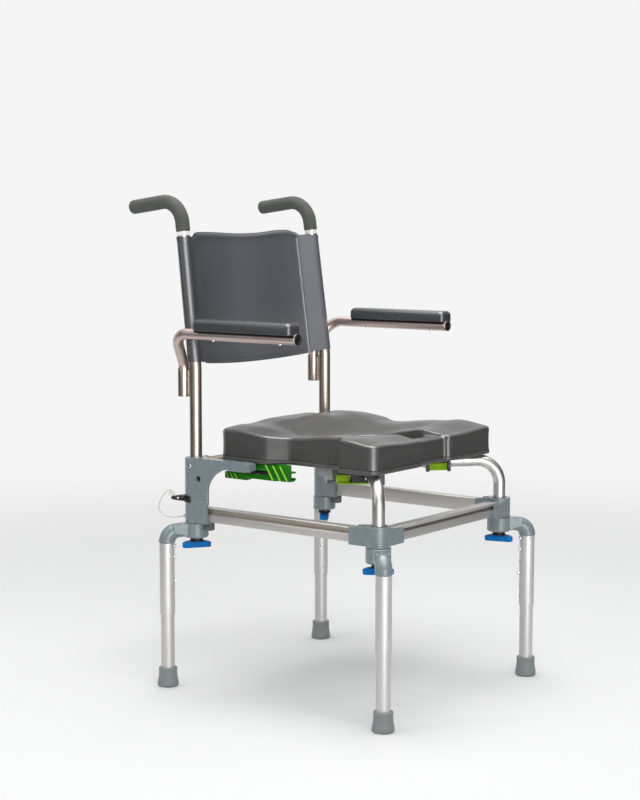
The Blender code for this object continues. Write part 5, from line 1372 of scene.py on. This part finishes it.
def make_pin():
    collar = bar(straight(pin_point(BOSS_R + 0.0006, PIN_Z), pin_point(0.0315, PIN_Z)), 0.0068, 40)
    shaft = bar(straight(pin_point(0.0085, PIN_Z), pin_point(0.0250, PIN_Z)), 0.0032)
    sections = ((0.0305, 0.0060, 0.0040), (0.0400, 0.0052, 0.0034), (0.0480, 0.0036, 0.0028),
                (PIN_REACH, 0.0024, 0.0022))
    tab = layered([[pin_point(reach, PIN_Z + z * high, across * thick) for z, across in
                    ((-1, -1), (-1, 1), (1, 1), (1, -1))] for reach, high, thick in sections])
    hole = bar(straight(*[pin_point(0.0385, PIN_Z - 0.0003, across) for across in (-0.01, 0.01)]), 0.0023)
    body = join(soften(collar, 0.0008, 3), shaft, soften(cut(tab, hole), 0.0006, 3))
    put("pull_pin", body, BLACK, "pin", ["retaining_pin"])
    angles = [math.radians(112.0 + 78.0 * k / 24) for k in range(25)]
    outer, inner = ([(-HALF_W + radius * math.cos(a), HALF_D + radius * math.sin(a)) for a in angles]
                    for radius in (BOSS_R + 0.0034, BOSS_R + 0.0004))
    saddle = prism(outer + inner[::-1], PIN_Z - 0.0068, PIN_Z + 0.0066)
    put("pin_saddle", soften(saddle, 0.0008, 3), BLACK, "pin")
    ring = [pin_point(0.0508 + 0.0052 * math.cos(a), 0.4052 + 0.0052 * math.sin(a))
            for a in [2 * math.pi * k / 32 for k in range(33)]]
    ways = [(ring[(k + 1) % 32] - ring[k - 1 if k else 31]).normalized() for k in range(33)]
    put("lanyard_ring", bar(list(zip(ring, ways)), 0.0007, 12), NICKEL, "pin", ())
    start = pin_point(*LANYARD_CRIMP)
    crimp = bar(straight(start, start + Vector((-0.004, -0.009, 0.0012))), 0.0022, 24)
    put("lanyard_crimp", soften(crimp, 0.0006, 2), NICKEL, "frame", ())


def make_lanyard():
    """Cord from the tab of the pin, round in a loop and back to the foot of the bracket, on the CAD's route."""
    route = [pin_point(*spot) for spot in (
        (0.0500, 0.4005), (0.0508, 0.4085), (0.0560, 0.4135), (0.0655, 0.4060), (0.0757, 0.3900), (0.0782, 0.3750),
        (0.0700, 0.3620), (0.0540, 0.3560), (0.0380, 0.3565), LANYARD_CRIMP, (BOSS_R + CORD_R + 0.0006, 0.3620))]
    ends = [route[0] * 2 - route[1]] + route + [route[-1] * 2 - route[-2]]
    line = []
    for a, b, c, d in zip(ends, ends[1:], ends[2:], ends[3:]):
        for t in [k / 6 for k in range(6)]:
            line.append((b * 2 + (c - a) * t + (a * 2 - b * 5 + c * 4 - d) * t * t
                         + (b * 3 - a - c * 3 + d) * t ** 3) / 2)
    line.append(route[-1])
    last = len(line) - 1
    ways = [(line[min(k + 1, last)] - line[max(k - 1, 0)]).normalized() for k in range(last + 1)]
    cord = put("lanyard_cord", bar(list(zip(line, ways)), CORD_R, 12), CORD, None, ["pin_lanyard"])
    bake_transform(cord)


make_camera()
make_floor()
make_world()
# name, place, target, size in metres, watts
area_light("key", (-1.2, -1.6, 2.6), (0.0, 0.0, 0.5), (1.6, 1.6), 25.0)
area_light("top", (0.1, 0.2, 2.8), (0.0, 0.0, 0.4), (1.5, 1.5), 30.0)
area_light("side", (-2.4, 1.2, 1.6), (0.0, 0.0, 0.5), (1.0, 1.8), 8.0)
make_legs()
make_rails()
make_connectors()
make_seat_tubes()
make_brackets()
make_posts()
make_sling()
make_arms()
make_cushion()
make_tray()
make_clips()
make_latches()
make_pin()
make_lanyard()

scene = bpy.context.scene
scene.view_settings.view_transform = "Standard"
